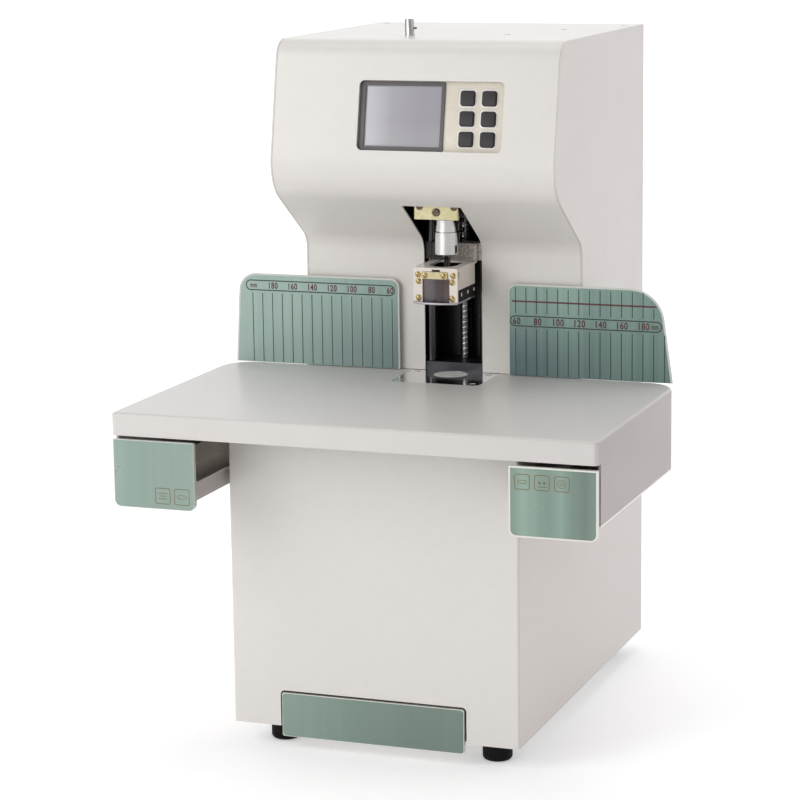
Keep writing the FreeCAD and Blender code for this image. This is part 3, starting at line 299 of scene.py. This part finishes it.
def fence_film():
    t = Tree("green_film_scale")
    base, dark, light = lin(121, 150, 140), lin(97, 126, 118), lin(148, 176, 162)
    # painted sheen: soft upright bands and fine streaks in the ground
    wide = t.noise(1.0, 2.0, 0.4, t.mapped((22.0, 0.0, 1.0), (0.7, 0, 0)))
    thin = t.noise(1.0, 3.0, 0.6, t.mapped((210.0, 0.0, 2.0)))
    c = t.ramp(wide, (0.25, dark), (0.5, base), (0.75, light))
    c = t.mix(0.42, c, t.ramp(thin, (0.3, scaled(base, 0.66)), (0.7, scaled(base, 1.26))))
    # painted shade: darker and cooler towards the bottom of the fence
    up = t.span(t.axis("Z"), 0.315, 0.395, 0.0, 1.0)
    c = t.mix(1.0, c, t.ramp(up, (0.0, (0.76, 0.79, 0.80)), (0.45, (0.88, 0.90, 0.90)), (1.0, (1.0, 1.0, 1.0))), "MULTIPLY")
    # painted shade: the ground is made darker and bluer towards the drill and the table
    x = t.axis("X")
    inner = t.node("ShaderNodeMath", {0: t.span(x, 0.055, 0.165, 1.0, 0.0), 1: t.span(x, -0.16, -0.045, 0.0, 1.0)}, operation="MULTIPLY").outputs[0]
    deep = t.node("ShaderNodeMath", {0: inner, 1: t.span(t.axis("Z"), 0.330, 0.384, 1.0, 0.0)}, operation="MULTIPLY").outputs[0]
    c = t.mix(deep, c, t.mix(1.0, c, (0.44, 0.49, 0.64), "MULTIPLY"))
    left = t.span(x, -0.2, 0.05, 1.0, 0.0)
    c = t.mix(t.span(left, 0.0, 1.0, 0.0, 0.55), c, lin(172, 192, 184))
    t.color(c)
    t.rough(t.span(t.noise(60.0, 3.0, 0.6), 0.3, 0.7, 0.28, 0.38))
    t.normal(t.bump(t.noise(1.0, 2.0, 0.5, t.mapped((900, 900, 60))), 0.05, 0.0001))
    t.set(Metallic=0.25, Coat_Weight=0.5, Coat_Roughness=0.15)
    return t.mat


GREEN_F = fence_film()


def plastic(name, base, rough=0.4, grain=1400.0, depth=0.12, coat=0.0, gloss=0.5):
    t = Tree(name)
    c = t.ramp(t.noise(40.0, 4.0, 0.6), (0.3, scaled(base, 0.9)), (0.7, scaled(base, 1.1)))
    c = t.mix(0.25, c, t.ramp(t.noise(grain, 2.0, 0.6), (0.35, scaled(base, 0.75)), (0.65, scaled(base, 1.25))))
    t.color(c)
    t.rough(t.span(t.noise(180.0, 3.0, 0.6), 0.3, 0.7, rough - 0.06, rough + 0.06))
    t.normal(t.bump(t.noise(grain, 2.0, 0.5), depth, 0.0001))
    t.set(Coat_Weight=coat, Coat_Roughness=0.1, Specular_IOR_Level=gloss)
    return t.mat


def metal(name, base, rough=0.3, axis=None, lines=2400.0, tint=None, depth=0.10, spots=0.03, aniso=0.0):
    """Bare metal: fine tool or brushing lines along one axis, uneven gloss, faint handling marks."""
    t = Tree(name)
    m = {"x": (6.0, lines, lines), "y": (lines, 6.0, lines), "z": (lines, lines, 6.0), None: (lines / 4,) * 3,
         "ring": (1.0, 1.0, lines)}[axis]
    grain = t.noise(1.0, 2.0, 0.6, t.mapped(m))
    c = t.ramp(t.noise(45.0, 4.0, 0.6), (0.3, scaled(base, 0.93)), (0.7, scaled(base, 1.04)))
    c = t.mix(0.35, c, t.ramp(grain, (0.3, scaled(base, 0.85)), (0.7, scaled(base, 1.08))))
    if tint:
        for scale, col, amount in tint:
            mask = t.ramp(t.noise(scale, 3.0, 0.6), (0.45, (0, 0, 0)), (0.62, (1, 1, 1)))
            bw = t.node("ShaderNodeRGBToBW", {"Color": mask}).outputs[0]
            c = t.mix(t.span(bw, 0, 1, 0, amount), c, col)
    t.color(c)
    t.rough(t.span(t.noise(70.0, 4.0, 0.65), 0.3, 0.7, max(0.05, rough - spots), rough + spots * 2))
    t.normal(t.bump(grain, depth, 0.00008))
    t.set(Metallic=1.0)
    if aniso:
        # turned rings spread a highlight along the axis and keep it narrow across
        t.set(Anisotropic=aniso, Anisotropic_Rotation=0.25)
    return t.mat


GOLD = metal("yellow_zinc", (0.47, 0.42, 0.245), 0.30, "x", 900.0,
             tint=[(160.0, (0.56, 0.42, 0.27), 0.35), (95.0, (0.47, 0.50, 0.27), 0.35), (240.0, (0.62, 0.57, 0.40), 0.4)])


def screw_heads():
    """Yellow zinc screws on the foot's front, bright zinc ones on its two sides."""
    t = Tree("foot_screw_heads")
    spots = t.noise(420.0, 3.0, 0.6)
    gold = t.ramp(spots, (0.35, (0.72, 0.50, 0.20)), (0.52, (0.86, 0.68, 0.34)), (0.70, (0.92, 0.80, 0.50)))
    zinc = t.ramp(spots, (0.35, (0.80, 0.79, 0.76)), (0.65, (0.94, 0.93, 0.91)))
    x = t.axis("X")
    m = t.node("ShaderNodeMath", {0: t.span(x, -0.0167, -0.0165, 1.0, 0.0), 1: t.span(x, 0.0247, 0.0249, 0.0, 1.0)},
               operation="ADD").outputs[0]
    # painted shade: each head is darkened where ambient occlusion finds its recess
    recess = t.node("ShaderNodeAmbientOcclusion", {"Distance": 0.0011}, samples=8, only_local=True).outputs["AO"]
    c = t.mix(m, gold, zinc)
    t.color(t.mix(t.span(recess, 0.50, 0.88, 0.0, 1.0), t.mix(1.0, c, (0.08, 0.055, 0.04), "MULTIPLY"), c))
    t.rough(t.span(t.noise(300.0, 3.0, 0.6), 0.3, 0.7, 0.12, 0.24))
    t.normal(t.bump(t.noise(1500.0, 2.0, 0.5), 0.06, 0.00008))
    t.set(Metallic=1.0)
    return t.mat


GOLD_HEAD = screw_heads()
STEEL = metal("ground_steel", (0.64, 0.63, 0.62), 0.30, "x", 1500.0)
CHROME = metal("polished_steel", (0.80, 0.80, 0.80), 0.10, "y", 1200.0, depth=0.04)
SOLE = metal("polished_sole", (0.46, 0.43, 0.45), 0.10, "y", 1200.0, depth=0.04)
COLUMN = metal("hardened_column", (0.085, 0.078, 0.082), 0.22, "z", 1400.0, depth=0.05)
SCREW_STEEL = metal("oiled_screw", (0.17, 0.165, 0.16), 0.34, None, 1400.0)
TURNED = metal("turned_steel", (0.72, 0.705, 0.69), 0.23, "ring", 1500.0, depth=0.30, aniso=0.7)
DRILL = metal("drill_steel", (0.30, 0.29, 0.29), 0.16, "z", 1500.0, depth=0.05)
ALLOY = metal("milled_alloy", (0.72, 0.72, 0.72), 0.34, "x", 1300.0)
SPRING = metal("spring_wire", (0.20, 0.20, 0.21), 0.28, None, 2200.0)
DARK = metal("black_oxide", (0.055, 0.055, 0.06), 0.42, "z", 900.0)


def dark_heads():
    """Browned screws; painted shade makes the cross nearly black."""
    t = Tree("dark_screw")
    spots = t.noise(600.0, 3.0, 0.6)
    c = t.ramp(spots, (0.35, (0.13, 0.10, 0.07)), (0.65, (0.24, 0.19, 0.13)))
    shut = t.node("ShaderNodeAmbientOcclusion", {"Distance": 0.0012}, samples=8, only_local=True).outputs["AO"]
    t.color(t.mix(t.span(shut, 0.45, 0.85, 0.0, 1.0), (0.008, 0.006, 0.005), c))
    t.rough(t.span(t.noise(300.0, 3.0, 0.6), 0.3, 0.7, 0.26, 0.38))
    t.normal(t.bump(t.noise(1500.0, 2.0, 0.5), 0.06, 0.00008))
    t.set(Metallic=0.9)
    return t.mat


DARK_HEAD = dark_heads()
RUBBER = plastic("foot_rubber", (0.006, 0.006, 0.006), 0.62, 1100.0, 0.2, gloss=0.12)
ROLL = plastic("roller_rubber", (0.02, 0.02, 0.022), 0.7, 1500.0, 0.2)
BLACK = plastic("black_moulding", (0.018, 0.018, 0.020), 0.38, 1600.0, 0.16)
RAIL = plastic("rail_moulding", (0.006, 0.0045, 0.0045), 0.5, 1600.0, 0.10, gloss=0.15)
BEZEL = plastic("display_frame", lin(92, 88, 89), 0.34, 1500.0, 0.10, 0.2, gloss=0.3)
KEY = plastic("key_cap", lin(44, 39, 42), 0.34, 1700.0, 0.12, 0.12, gloss=0.3)
CREAM = plastic("panel_film", lin(223, 215, 198), 0.36, 1700.0, 0.05, 0.3)
WHITE = plastic("white_print", lin(250, 247, 240), 0.4, 1900.0, 0.05)
BOARD = plastic("circuit_board", (0.012, 0.085, 0.035), 0.35, 700.0, 0.2, 0.4)
PAD = plastic("cutting_plastic", (0.78, 0.78, 0.75), 0.45, 800.0, 0.2)
PRINT_GREEN = plastic("dark_green_print", lin(22, 42, 42), 0.35, 2200.0, 0.05, 0.3)
PRINT_RED = plastic("red_brown_print", lin(86, 32, 38), 0.35, 2200.0, 0.05, 0.3)
ENAMEL_BLACK = paint("motor_enamel", (0.02, 0.02, 0.022), 0.4)


def display():
    t = Tree("display_surface")
    # painted reflection: the screen is made lighter at the left and towards the top
    x = t.span(t.axis("X"), -0.0551, 0.0175, 0.0, 1.0)
    z = t.span(t.axis("Z"), 0.5268, 0.5818, 0.0, 1.0)
    across = t.ramp(x, (0.0, lin(232, 232, 238)), (0.35, lin(166, 164, 170)), (0.7, lin(144, 140, 147)), (1.0, lin(148, 145, 152)))
    upwards = t.ramp(z, (0.0, lin(164, 163, 168)), (0.45, lin(147, 144, 150)), (1.0, lin(176, 175, 181)))
    c = t.mix(0.5, across, upwards)
    lines = t.noise(1.0, 1.0, 0.5, t.mapped((620.0, 0, 0.5)))
    c = t.mix(0.02, c, t.ramp(lines, (0.3, lin(120, 120, 125)), (0.7, lin(186, 186, 190))))
    cells = t.noise(1.0, 0.0, 0.5, t.mapped((2600.0, 1, 2600.0)))
    c = t.mix(0.05, c, t.ramp(cells, (0.4, lin(120, 120, 126)), (0.6, lin(205, 205, 210))))
    t.color(c)
    t.rough(t.span(t.noise(40.0, 2.0, 0.5), 0.3, 0.7, 0.16, 0.22))
    t.set(Coat_Weight=0.4, Coat_Roughness=0.06, Specular_IOR_Level=0.4)
    return t.mat


LCD = display()


def smoked():
    """Dark clear plastic: what stands behind it shows through faintly, and its colour paints more of it in: pale at the
    left, painted shade in the middle, and a brown band of painted light from the drill at the right.
    """
    t = Tree("smoked_window")
    x = t.span(t.axis("X"), -0.009, 0.018, 0.0, 1.0)
    c = t.ramp(x, (0.0, lin(146, 132, 138)), (0.33, lin(132, 118, 124)), (0.48, lin(88, 76, 80)), (0.72, lin(74, 54, 46)),
               (0.80, lin(98, 72, 66)), (1.0, lin(118, 92, 84)))
    c = t.mix(0.2, c, t.ramp(t.noise(60.0, 3.0, 0.6), (0.3, lin(80, 70, 74)), (0.7, lin(110, 98, 104))))
    # painted shade: a darker strip along the bottom of the window
    low = t.span(t.axis("Z"), 0.3882, 0.3894, 1.0, 0.0)
    c = t.mix(low, c, t.mix(1.0, c, (0.42, 0.40, 0.43), "MULTIPLY"))
    t.color(c)
    t.rough(t.span(t.noise(90.0, 3.0, 0.6), 0.3, 0.7, 0.06, 0.14))
    t.normal(t.bump(t.noise(260.0, 2.0, 0.5), 0.03, 0.0001))
    t.set(Alpha=0.55, IOR=1.49, Coat_Weight=0.5, Coat_Roughness=0.05)
    return t.mat


SMOKE = smoked()


# ------------------------------------------------------------------ carried-over nodes
def dress(names, mat, bevel=0.35, angle=38, segments=2):
    for name in names.split():
        o = NODES[name]
        me = o.data
        o.data.materials.clear()
        o.data.materials.append(mat)
        if "custom_normal" in me.attributes:
            me.attributes.remove(me.attributes["custom_normal"])
        me.polygons.foreach_set("use_smooth", [True] * len(me.polygons))
        w = o.modifiers.new("weld", "WELD")
        w.merge_threshold = 0.000004
        d = o.modifiers.new("flat", "DECIMATE")
        d.decimate_type = "DISSOLVE"
        d.angle_limit = math.radians(0.4)
        if bevel > 0:
            b = o.modifiers.new("edge", "BEVEL")
            b.width = bevel * MM
            b.segments = segments
            b.limit_method = "ANGLE"
            b.angle_limit = math.radians(angle)
            b.use_clamp_overlap = True
            b.harden_normals = True
        else:
            e = o.modifiers.new("split", "EDGE_SPLIT")
            e.split_angle = math.radians(angle)


dress("base_shell", IVORY_BASE, 0.45)
dress("head_cover", IVORY, 0.45)
dress("head_side_left head_side_right", IVORY_SIDE_SHADED, 0.35)
dress("rear_cover", IVORY, 0.35)
dress("work_table", IVORY_TABLE, 0.5)
dress("left_fence right_fence", FENCE_RIM, 0.35)
dress("right_drawer_front", RIM, 0.25)
dress("left_drawer_front", RIM_L, 0.25)
dress("scrap_drawer_front", RIM_S, 0.25)
dress("left_drawer_tray", GALV_L_GLOW, 0.2)
dress("right_drawer_tray", GALV, 0.2)
dress("scrap_drawer_tray base_plate drawer_runners power_supply", STEEL, 0.2)
dress("rubber_feet", RUBBER, 0.0)
dress("cover_screws", STEEL, 0.0)
dress("anvil_plate", CHROME, 0.15)
dress("cutting_pad", PAD, 0.0)
dress("chip_chute power_inlet power_rocker", BLACK, 0.2)
dress("fence_scales", GREEN_F, 0.0)
dress("fence_spacers", ALLOY, 0.0)
dress("control_panel", CREAM, 0.15)
dress("display_bezel", BEZEL, 0.25)
dress("display_glass", LCD, 0.1)
dress("control_board", BOARD, 0.0)
for key in [n for n in NODES if n.startswith("key_")]:
    dress(key, KEY, 0.0)
dress("main_frame", DARK, 0.3)
dress("guide_columns", COLUMN, 0.0)
dress("lift_motor drill_motor", ENAMEL_BLACK, 0.0)
dress("lift_screw", SCREW_STEEL, 0.0)
dress("clamp_rod", SCREW_STEEL, 0.0)
dress("tool_carriage tube_feeder", ALLOY, 0.25)
dress("foot_guide_block", BLOCK_SHADED, 0.3)
dress("carriage_front_plate", GOLD, 0.2)
dress("window_bar", GOLD, 0.12)
dress("foot_screws", GOLD_HEAD, 0.0)
dress("front_plate_screws tube_guide_screw", DARK_HEAD, 0.0)
dress("drill_chuck tube_guide", TURNED, 0.0)
dress("hollow_drill", DRILL, 0.0)
dress("foot_frame", FOOT_PAINT, 0.25)
dress("foot_window", SMOKE, 0.1)
dress("presser_plate", SOLE, 0.0)
dress("guard_rails", RAIL, 0.2)
dress("clamp_spring", SPRING, 0.0)
dress("feed_roller pinch_roller", ROLL, 0.0)


# ------------------------------------------------------------------ pieces made here
def piece(name, bm, mat, body, smooth=False):
    me = bpy.data.meshes.new(name)
    bmesh.ops.recalc_face_normals(bm, faces=bm.faces)
    bm.to_mesh(me)
    bm.free()
    if smooth:
        me.polygons.foreach_set("use_smooth", [True] * len(me.polygons))
    me.materials.append(mat)
    o = bpy.data.objects.new(name, me)
    scene.collection.objects.link(o)
    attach(o, body)
    return o


def rounded_outline(x0, x1, z0, z1, radii, steps=8):
    """Counter-clockwise outline; radii for the corners low-left, low-right, high-right, high-left."""
    pts = []
    for (cx, cz, start), r in zip(((x0, z0, 180), (x1, z0, 270), (x1, z1, 0), (x0, z1, 90)), radii):
        if r <= 0:
            pts.append((cx, cz))
            continue
        ox = cx + r if cx == x0 else cx - r
        oz = cz + r if cz == z0 else cz - r
        for i in range(steps + 1):
            a = math.radians(start + 90 * i / steps)
            pts.append((ox + r * math.cos(a), oz + r * math.sin(a)))
    return pts


def add_prism(bm, pts, y0, y1, place=None):
    """An outline in XZ made solid from y0 to y1; place moves a point in mm before it is scaled."""
    place = place or (lambda x, y, z: (x, y, z))
    a = [bm.verts.new(Vector(place(x, y0, z)) * MM) for x, z in pts]
    b = [bm.verts.new(Vector(place(x, y1, z)) * MM) for x, z in pts]
    bm.faces.new(a)
    bm.faces.new(b[::-1])
    for i in range(len(pts)):
        j = (i + 1) % len(pts)
        bm.faces.new((a[i], b[i], b[j], a[j]))


def add_ring(bm, outer, inner, y0, y1, place=None):
    place = place or (lambda x, y, z: (x, y, z))
    n = len(outer)
    v = {}
    for key, pts, y in (("oa", outer, y0), ("ob", outer, y1), ("ia", inner, y0), ("ib", inner, y1)):
        v[key] = [bm.verts.new(Vector(place(x, y, z)) * MM) for x, z in pts]
    for i in range(n):
        j = (i + 1) % n
        bm.faces.new((v["oa"][i], v["oa"][j], v["ia"][j], v["ia"][i]))
        bm.faces.new((v["ob"][j], v["ob"][i], v["ib"][i], v["ib"][j]))
        bm.faces.new((v["oa"][j], v["oa"][i], v["ob"][i], v["ob"][j]))
        bm.faces.new((v["ia"][i], v["ia"][j], v["ib"][j], v["ib"][i]))


# films on the three drawer fronts
def drawer_film(name, body, mat, x0, x1, z0, z1, y_back, y_front, radii):
    bm = bmesh.new()
    add_prism(bm, rounded_outline(x0, x1, z0, z1, radii), y_front, y_back)
    bmesh.ops.bevel(bm, geom=[e for e in bm.edges if all(abs(v.co.y - y_front * MM) < 1e-7 for v in e.verts)],
                    offset=0.06 * MM, segments=1, affect="EDGES")
    piece(name, bm, mat, body)


drawer_film("left_drawer_film", "left_drawer", GREEN_L, -216.25, -141.55, 231.25, 289.65, -239.6, -239.95, (5.4, 5.4, 0.6, 0.6))
drawer_film("right_drawer_film", "right_drawer", GREEN_R, 143.35, 216.45, 231.05, 287.85, -239.6, -239.95, (4.6, 4.6, 0.6, 0.6))
drawer_film("scrap_drawer_film", "scrap_drawer", GREEN_S, -94.6, 75.3, 12.1, 51.0, -166.0, -166.3, (2.3, 2.3, 2.3, 2.3))

# ---- plain framed marks on the two small drawers
TAN = plastic("tan_print", lin(112, 92, 48), 0.4, 2000.0, 0.05, 0.2)


def circle(cx, cz, r, n=20):
    return [(cx + r * math.cos(2 * math.pi * i / n), cz + r * math.sin(2 * math.pi * i / n)) for i in range(n)]


def marks(name, body, centres, z, half, motifs):
    bm = bmesh.new()
    ya, yb = -239.99, -239.93
    for cx, motif in zip(centres, motifs):
        add_ring(bm, rounded_outline(cx - half, cx + half, z - half, z + half, (2.2,) * 4),
                 rounded_outline(cx - half + 0.65, cx + half - 0.65, z - half + 0.65, z + half - 0.65, (1.6,) * 4), ya, yb)
        if motif == "rings":
            add_ring(bm, circle(cx, z, half * 0.55), circle(cx, z, half * 0.55 - 0.5), ya, yb)
            add_ring(bm, circle(cx, z, half * 0.24), circle(cx, z, half * 0.24 - 0.45), ya, yb)
        elif motif == "bars":
            for k in (-1, 0, 1):
                w = half * (0.58, 0.40, 0.58)[k + 1]
                add_prism(bm, [(cx - w, z + k * half * 0.34 - 0.3), (cx + w, z + k * half * 0.34 - 0.3),
                               (cx + w, z + k * half * 0.34 + 0.3), (cx - w, z + k * half * 0.34 + 0.3)], ya, yb)
        elif motif == "slot":
            add_ring(bm, stadium(cx - half * 0.6, cx + half * 0.6, z - half * 0.24, z + half * 0.24),
                     stadium(cx - half * 0.6 + 0.5, cx + half * 0.6 - 0.5, z - half * 0.24 + 0.5, z + half * 0.24 - 0.5), ya, yb)
        else:
            for k in (-1, 1):
                add_prism(bm, circle(cx + k * half * 0.32, z, half * 0.17), ya, yb)
            add_prism(bm, [(cx - half * 0.6, z - half * 0.55), (cx + half * 0.6, z - half * 0.55),
                           (cx + half * 0.6, z - half * 0.55 + 0.55), (cx - half * 0.6, z - half * 0.55 + 0.55)], ya, yb)
    piece(name, bm, TAN, body)


def stadium(x0, x1, z0, z1):
    r = (z1 - z0) / 2
    return rounded_outline(x0, x1, z0, z1, (r, r, r, r), 10)


marks("left_drawer_marks", "left_drawer", (-171.0, -153.0), 242.5, 7.2, ("bars", "slot"))
marks("right_drawer_marks", "right_drawer", (153.5, 170.5, 187.5), 276.5, 6.6, ("slot", "dots", "rings"))

# ---- scales on the fences: ticks every 10 mm from the drill axis, numbers every 20 mm
TOOL_X, DECK = 4.5, 313.0
Y1, Y0 = 22.5, 22.44

green = bmesh.new()
red = bmesh.new()


def bar(bm, x0, x1, z0, z1):
    add_prism(bm, [(x0, z0), (x1, z0), (x1, z1), (x0, z1)], Y0, Y1)


LOW_R, HIGH_R = DECK + 46.0, DECK + 56.2
add_ring(green, stadium(TOOL_X + 54.6, TOOL_X + 197.6, LOW_R, HIGH_R),
         stadium(TOOL_X + 55.65, TOOL_X + 196.55, LOW_R + 1.05, HIGH_R - 1.05), Y0, Y1)
for k in range(6, 20):
    x = TOOL_X + 10 * k
    bar(green, x - 0.4, x + 0.4, HIGH_R + 2.0, 394.8 if k < 19 else DECK + 67.2)
for k in range(6, 21):
    x = TOOL_X + 10 * k
    if x < 206:
        bar(green, x - 0.4, x + 0.4, DECK + 1.2, LOW_R - 2.0)
bar(red, TOOL_X + 56.5, TOOL_X + 192.5, DECK + 68.5, DECK + 70.1)

LOW_L, HIGH_L = DECK + 68.7, DECK + 78.9
add_ring(green, stadium(TOOL_X - 207.0, TOOL_X - 57.0, LOW_L, HIGH_L),
         stadium(TOOL_X - 205.95, TOOL_X - 58.05, LOW_L + 1.05, HIGH_L - 1.05), Y0, Y1)
for k in range(6, 21):
    x = TOOL_X - 10 * k
    bar(green, x - 0.4, x + 0.4, DECK + 1.2, LOW_L - 2.0)
piece("scale_lines", green, PRINT_GREEN, "frame")
piece("scale_limit_line", red, PRINT_RED, "frame")


def lettering(text, x, z, height, squeeze):
    """A number as a thin solid on the film, facing -Y."""
    cu = bpy.data.curves.new("n", "FONT")
    cu.body = text
    cu.size = 1.0
    cu.align_x = "CENTER"
    cu.extrude = 0.0
    cu.offset = 0.024
    cu.space_character = 1.12
    cu.resolution_u = 4
    tmp = bpy.data.objects.new("n", cu)
    scene.collection.objects.link(tmp)
    bpy.context.view_layer.update()
    me = bpy.data.meshes.new_from_object(tmp.evaluated_get(bpy.context.evaluated_depsgraph_get()))
    bpy.data.objects.remove(tmp)
    bm = bmesh.new()
    bm.from_mesh(me)
    bpy.data.meshes.remove(me)
    ys = [v.co.y for v in bm.verts if text != "mm"] or [0, 0.69]
    k = height / (max(ys) - min(ys))
    low = min(ys)
    for v in bm.verts:
        v.co = Vector(((x + v.co.x * k * squeeze) * MM, Y0 * MM, (z + (v.co.y - low) * k) * MM))
    made = bmesh.ops.extrude_face_region(bm, geom=bm.faces[:])
    for v in [g for g in made["geom"] if isinstance(g, bmesh.types.BMVert)]:
        v.co.y = Y1 * MM
    return bm


numbers = bmesh.new()


def collect(bm):
    me = bpy.data.meshes.new("tmp")
    bm.to_mesh(me)
    bm.free()
    numbers.from_mesh(me)
    bpy.data.meshes.remove(me)


for value in range(60, 181, 20):
    collect(lettering(str(value), TOOL_X + value + (1.0 if value < 100 else 0.3), LOW_R + 1.8, 6.6, 0.80))
    collect(lettering(str(value), TOOL_X - value - (1.9 if value == 60 else 0.2) + (value - 60) * 0.006, LOW_L + 2.0, 6.2, 0.76))
collect(lettering("mm", TOOL_X + 191.2, LOW_R + 2.9, 4.8, 0.62))
collect(lettering("mm", TOOL_X - 199.0, LOW_L + 2.9, 4.8, 0.62))
piece("scale_numbers", numbers, PRINT_RED, "frame")

# ---- control panel prints, in the leaning face's own frame
LEAN = math.radians(11.15)
PANEL = Matrix.Translation((8.1, -46.77, 555.5)) @ Matrix.Rotation(-LEAN, 4, "X")


def on_panel(x, y, z):
    return PANEL @ Vector((x, y, z))


outlines = bmesh.new()
for u in (33.2, 53.2):
    for w in (16.9, -1.2, -19.3):
        add_ring(outlines, rounded_outline(u - 8.1, u + 8.1, w - 8.1, w + 8.1, (3.2,) * 4),
                 rounded_outline(u - 6.95, u + 6.95, w - 6.95, w + 6.95, (2.5,) * 4), 4.90, 5.02, on_panel)
piece("key_outlines", outlines, WHITE, "frame")

# painted highlight: a light ring at the bezel's inner edge
glint = bmesh.new()
add_ring(glint, rounded_outline(-26.9 - 35.65, -26.9 + 35.65, -27.05, 27.05, (0.6,) * 4),
         rounded_outline(-26.9 - 34.7, -26.9 + 34.7, -26.1, 26.1, (0.5,) * 4), 4.72, 5.03, on_panel)
piece("display_inner_glint", glint, plastic("inner_frame", lin(150, 149, 154), 0.3, 1700.0, 0.05, 0.3), "frame")


# ---- countersunk screws on the top of the head
def pan_screw(bm, x, y, z, r, h):
    rings = [(r, 0.0), (r, h * 0.35), (r * 0.86, h * 0.75), (r * 0.55, h * 0.97), (0.0001, h)]
    n = 28
    last = None
    for rr, hh in rings:
        ring = [bm.verts.new(Vector((x + rr * math.cos(2 * math.pi * i / n), y + rr * math.sin(2 * math.pi * i / n), z + hh)) * MM)
                for i in range(n)]
        if last:
            for i in range(n):
                bm.faces.new((last[i], last[(i + 1) % n], ring[(i + 1) % n], ring[i]))
        last = ring
    bm.faces.new(last)


tops = bmesh.new()
for x, y in ((47.4, 56.0), (76.6, 137.2), (-128, 214), (112.5, 214)):
    pan_screw(tops, x, y, 621.0, 3.0, 0.9)
piece("head_top_screws", tops, RIM, "frame", smooth=True)


# ---- two-start thread on the lift screw, as helical ridges round the plain rod
def thread():
    bm = bmesh.new()
    turns, n, lead, r = 24, 24, 10.0, 5.0
    prof = [(r - 0.3, -1.2), (r + 0.03, -0.5), (r + 0.03, 0.5), (r - 0.3, 1.2)]
    for start in (0.0, math.pi):
        last = None
        for i in range(turns * n + 1):
            a = 2 * math.pi * i / n
            c, s = math.cos(a + start), math.sin(a + start)
            ring = [bm.verts.new(Vector((4.5 + q * c, 58.0 + q * s, 322.8 + lead * i / n + h)) * MM) for q, h in prof]
            if last:
                for k in range(3):
                    bm.faces.new((last[k], last[k + 1], ring[k + 1], ring[k]))
            last = ring
    return bm


piece("lift_screw_thread", thread(), TURNED, "lead_screw", smooth=True)


# ------------------------------------------------------------------ stage and light
def floor():
    bm = bmesh.new()
    pts = [(-9.0, 0.0), (3.5, 0.0)]
    for i in range(1, 13):
        a = math.radians(90 * i / 12)
        pts.append((3.5 + 1.8 * math.sin(a), 1.8 - 1.8 * math.cos(a)))
    pts.append((5.3, 8.0))
    rows = []
    for x in (-9.0, 9.0):
        rows.append([bm.verts.new((x, y, z)) for y, z in pts])
    for i in range(len(pts) - 1):
        bm.faces.new((rows[0][i], rows[1][i], rows[1][i + 1], rows[0][i + 1]))
    me = bpy.data.meshes.new("studio_floor")
    bm.to_mesh(me)
    bm.free()
    me.polygons.foreach_set("use_smooth", [True] * len(me.polygons))
    t = Tree("studio_paper")
    paper = t.ramp(t.noise(3.0, 3.0, 0.5), (0.3, (0.90, 0.90, 0.90)), (0.7, (0.93, 0.93, 0.93)))
    t.color(paper)
    t.rough(t.span(t.noise(6.0, 2.0, 0.5), 0.3, 0.7, 0.75, 0.85))
    t.set(Emission_Color=(1, 1, 1, 1))
    t.t.links.new(t.span(t.axis("Y"), 1.2, 2.6, 0.34, 0.62), t.b.inputs["Emission Strength"])
    me.materials.append(t.mat)
    o = bpy.data.objects.new("studio_floor", me)
    scene.collection.objects.link(o)


floor()


WORLD = 0.40


def softbox(name, loc, target, size, power, color=(1, 1, 1)):
    l = bpy.data.lights.new(name, "AREA")
    l.shape = "RECTANGLE"
    l.size, l.size_y = size
    l.energy = power
    l.color = color
    o = bpy.data.objects.new(name, l)
    scene.collection.objects.link(o)
    o.location = loc
    o.rotation_euler = (Vector(target) - Vector(loc)).to_track_quat("-Z", "Y").to_euler()


softbox("key_light", (-1.3, -1.5, 1.52), (0, 0, 0.36), (1.25, 1.25), 13.5)
softbox("low_front_light", (-1.3, -2.5, 0.85), (0, 0, 0.36), (2.2, 1.0), 16)
softbox("right_light", (1.9, -0.5, 1.7), (0.1, 0, 0.5), (1.1, 1.1), 2.6)
softbox("top_light", (0.1, 0.3, 2.6), (0, 0, 0.3), (1.8, 1.8), 17)

world = bpy.data.worlds.new("studio")
scene.world = world
world.use_nodes = True
wt = world.node_tree
wt.nodes.clear()


def wnode(kind, inputs=(), **props):
    n = wt.nodes.new(kind)
    for k, v in props.items():
        setattr(n, k, v)
    for k, v in dict(inputs).items():
        if isinstance(v, bpy.types.NodeSocket):
            wt.links.new(v, n.inputs[k])
        else:
            n.inputs[k].default_value = v
    return n


def wmath(op, a, b=0.0):
    return wnode("ShaderNodeMath", {0: a, 1: b}, operation=op).outputs[0]


# pale all round, dimmer overhead
direction = wnode("ShaderNodeSeparateXYZ", {0: wnode("ShaderNodeTexCoord").outputs["Generated"]})
dx, dz = direction.outputs[0], direction.outputs[2]
height = wnode("ShaderNodeValToRGB", {0: dz})
stops = height.color_ramp.elements
stops[0].position, stops[0].color = 0.0, (0.94, 0.94, 0.96, 1)
stops[1].position, stops[1].color = 1.0, (0.84, 0.84, 0.86, 1)
mid = stops.new(0.35)
mid.color = (0.82, 0.82, 0.84, 1)
right = wnode("ShaderNodeMapRange", {"Value": dx, "From Min": -0.2, "From Max": 1.0, "To Min": 1.0, "To Max": 0.90}).outputs["Result"]
bg = wnode("ShaderNodeBackground", {"Color": height.outputs[0], "Strength": wmath("MULTIPLY", right, WORLD)})
wt.links.new(bg.outputs[0], wnode("ShaderNodeOutputWorld").inputs[0])

scene.view_settings.view_transform = "Standard"
scene.view_settings.look = "None"
scene.view_settings.exposure = 0.0
scene.view_settings.gamma = 1.0
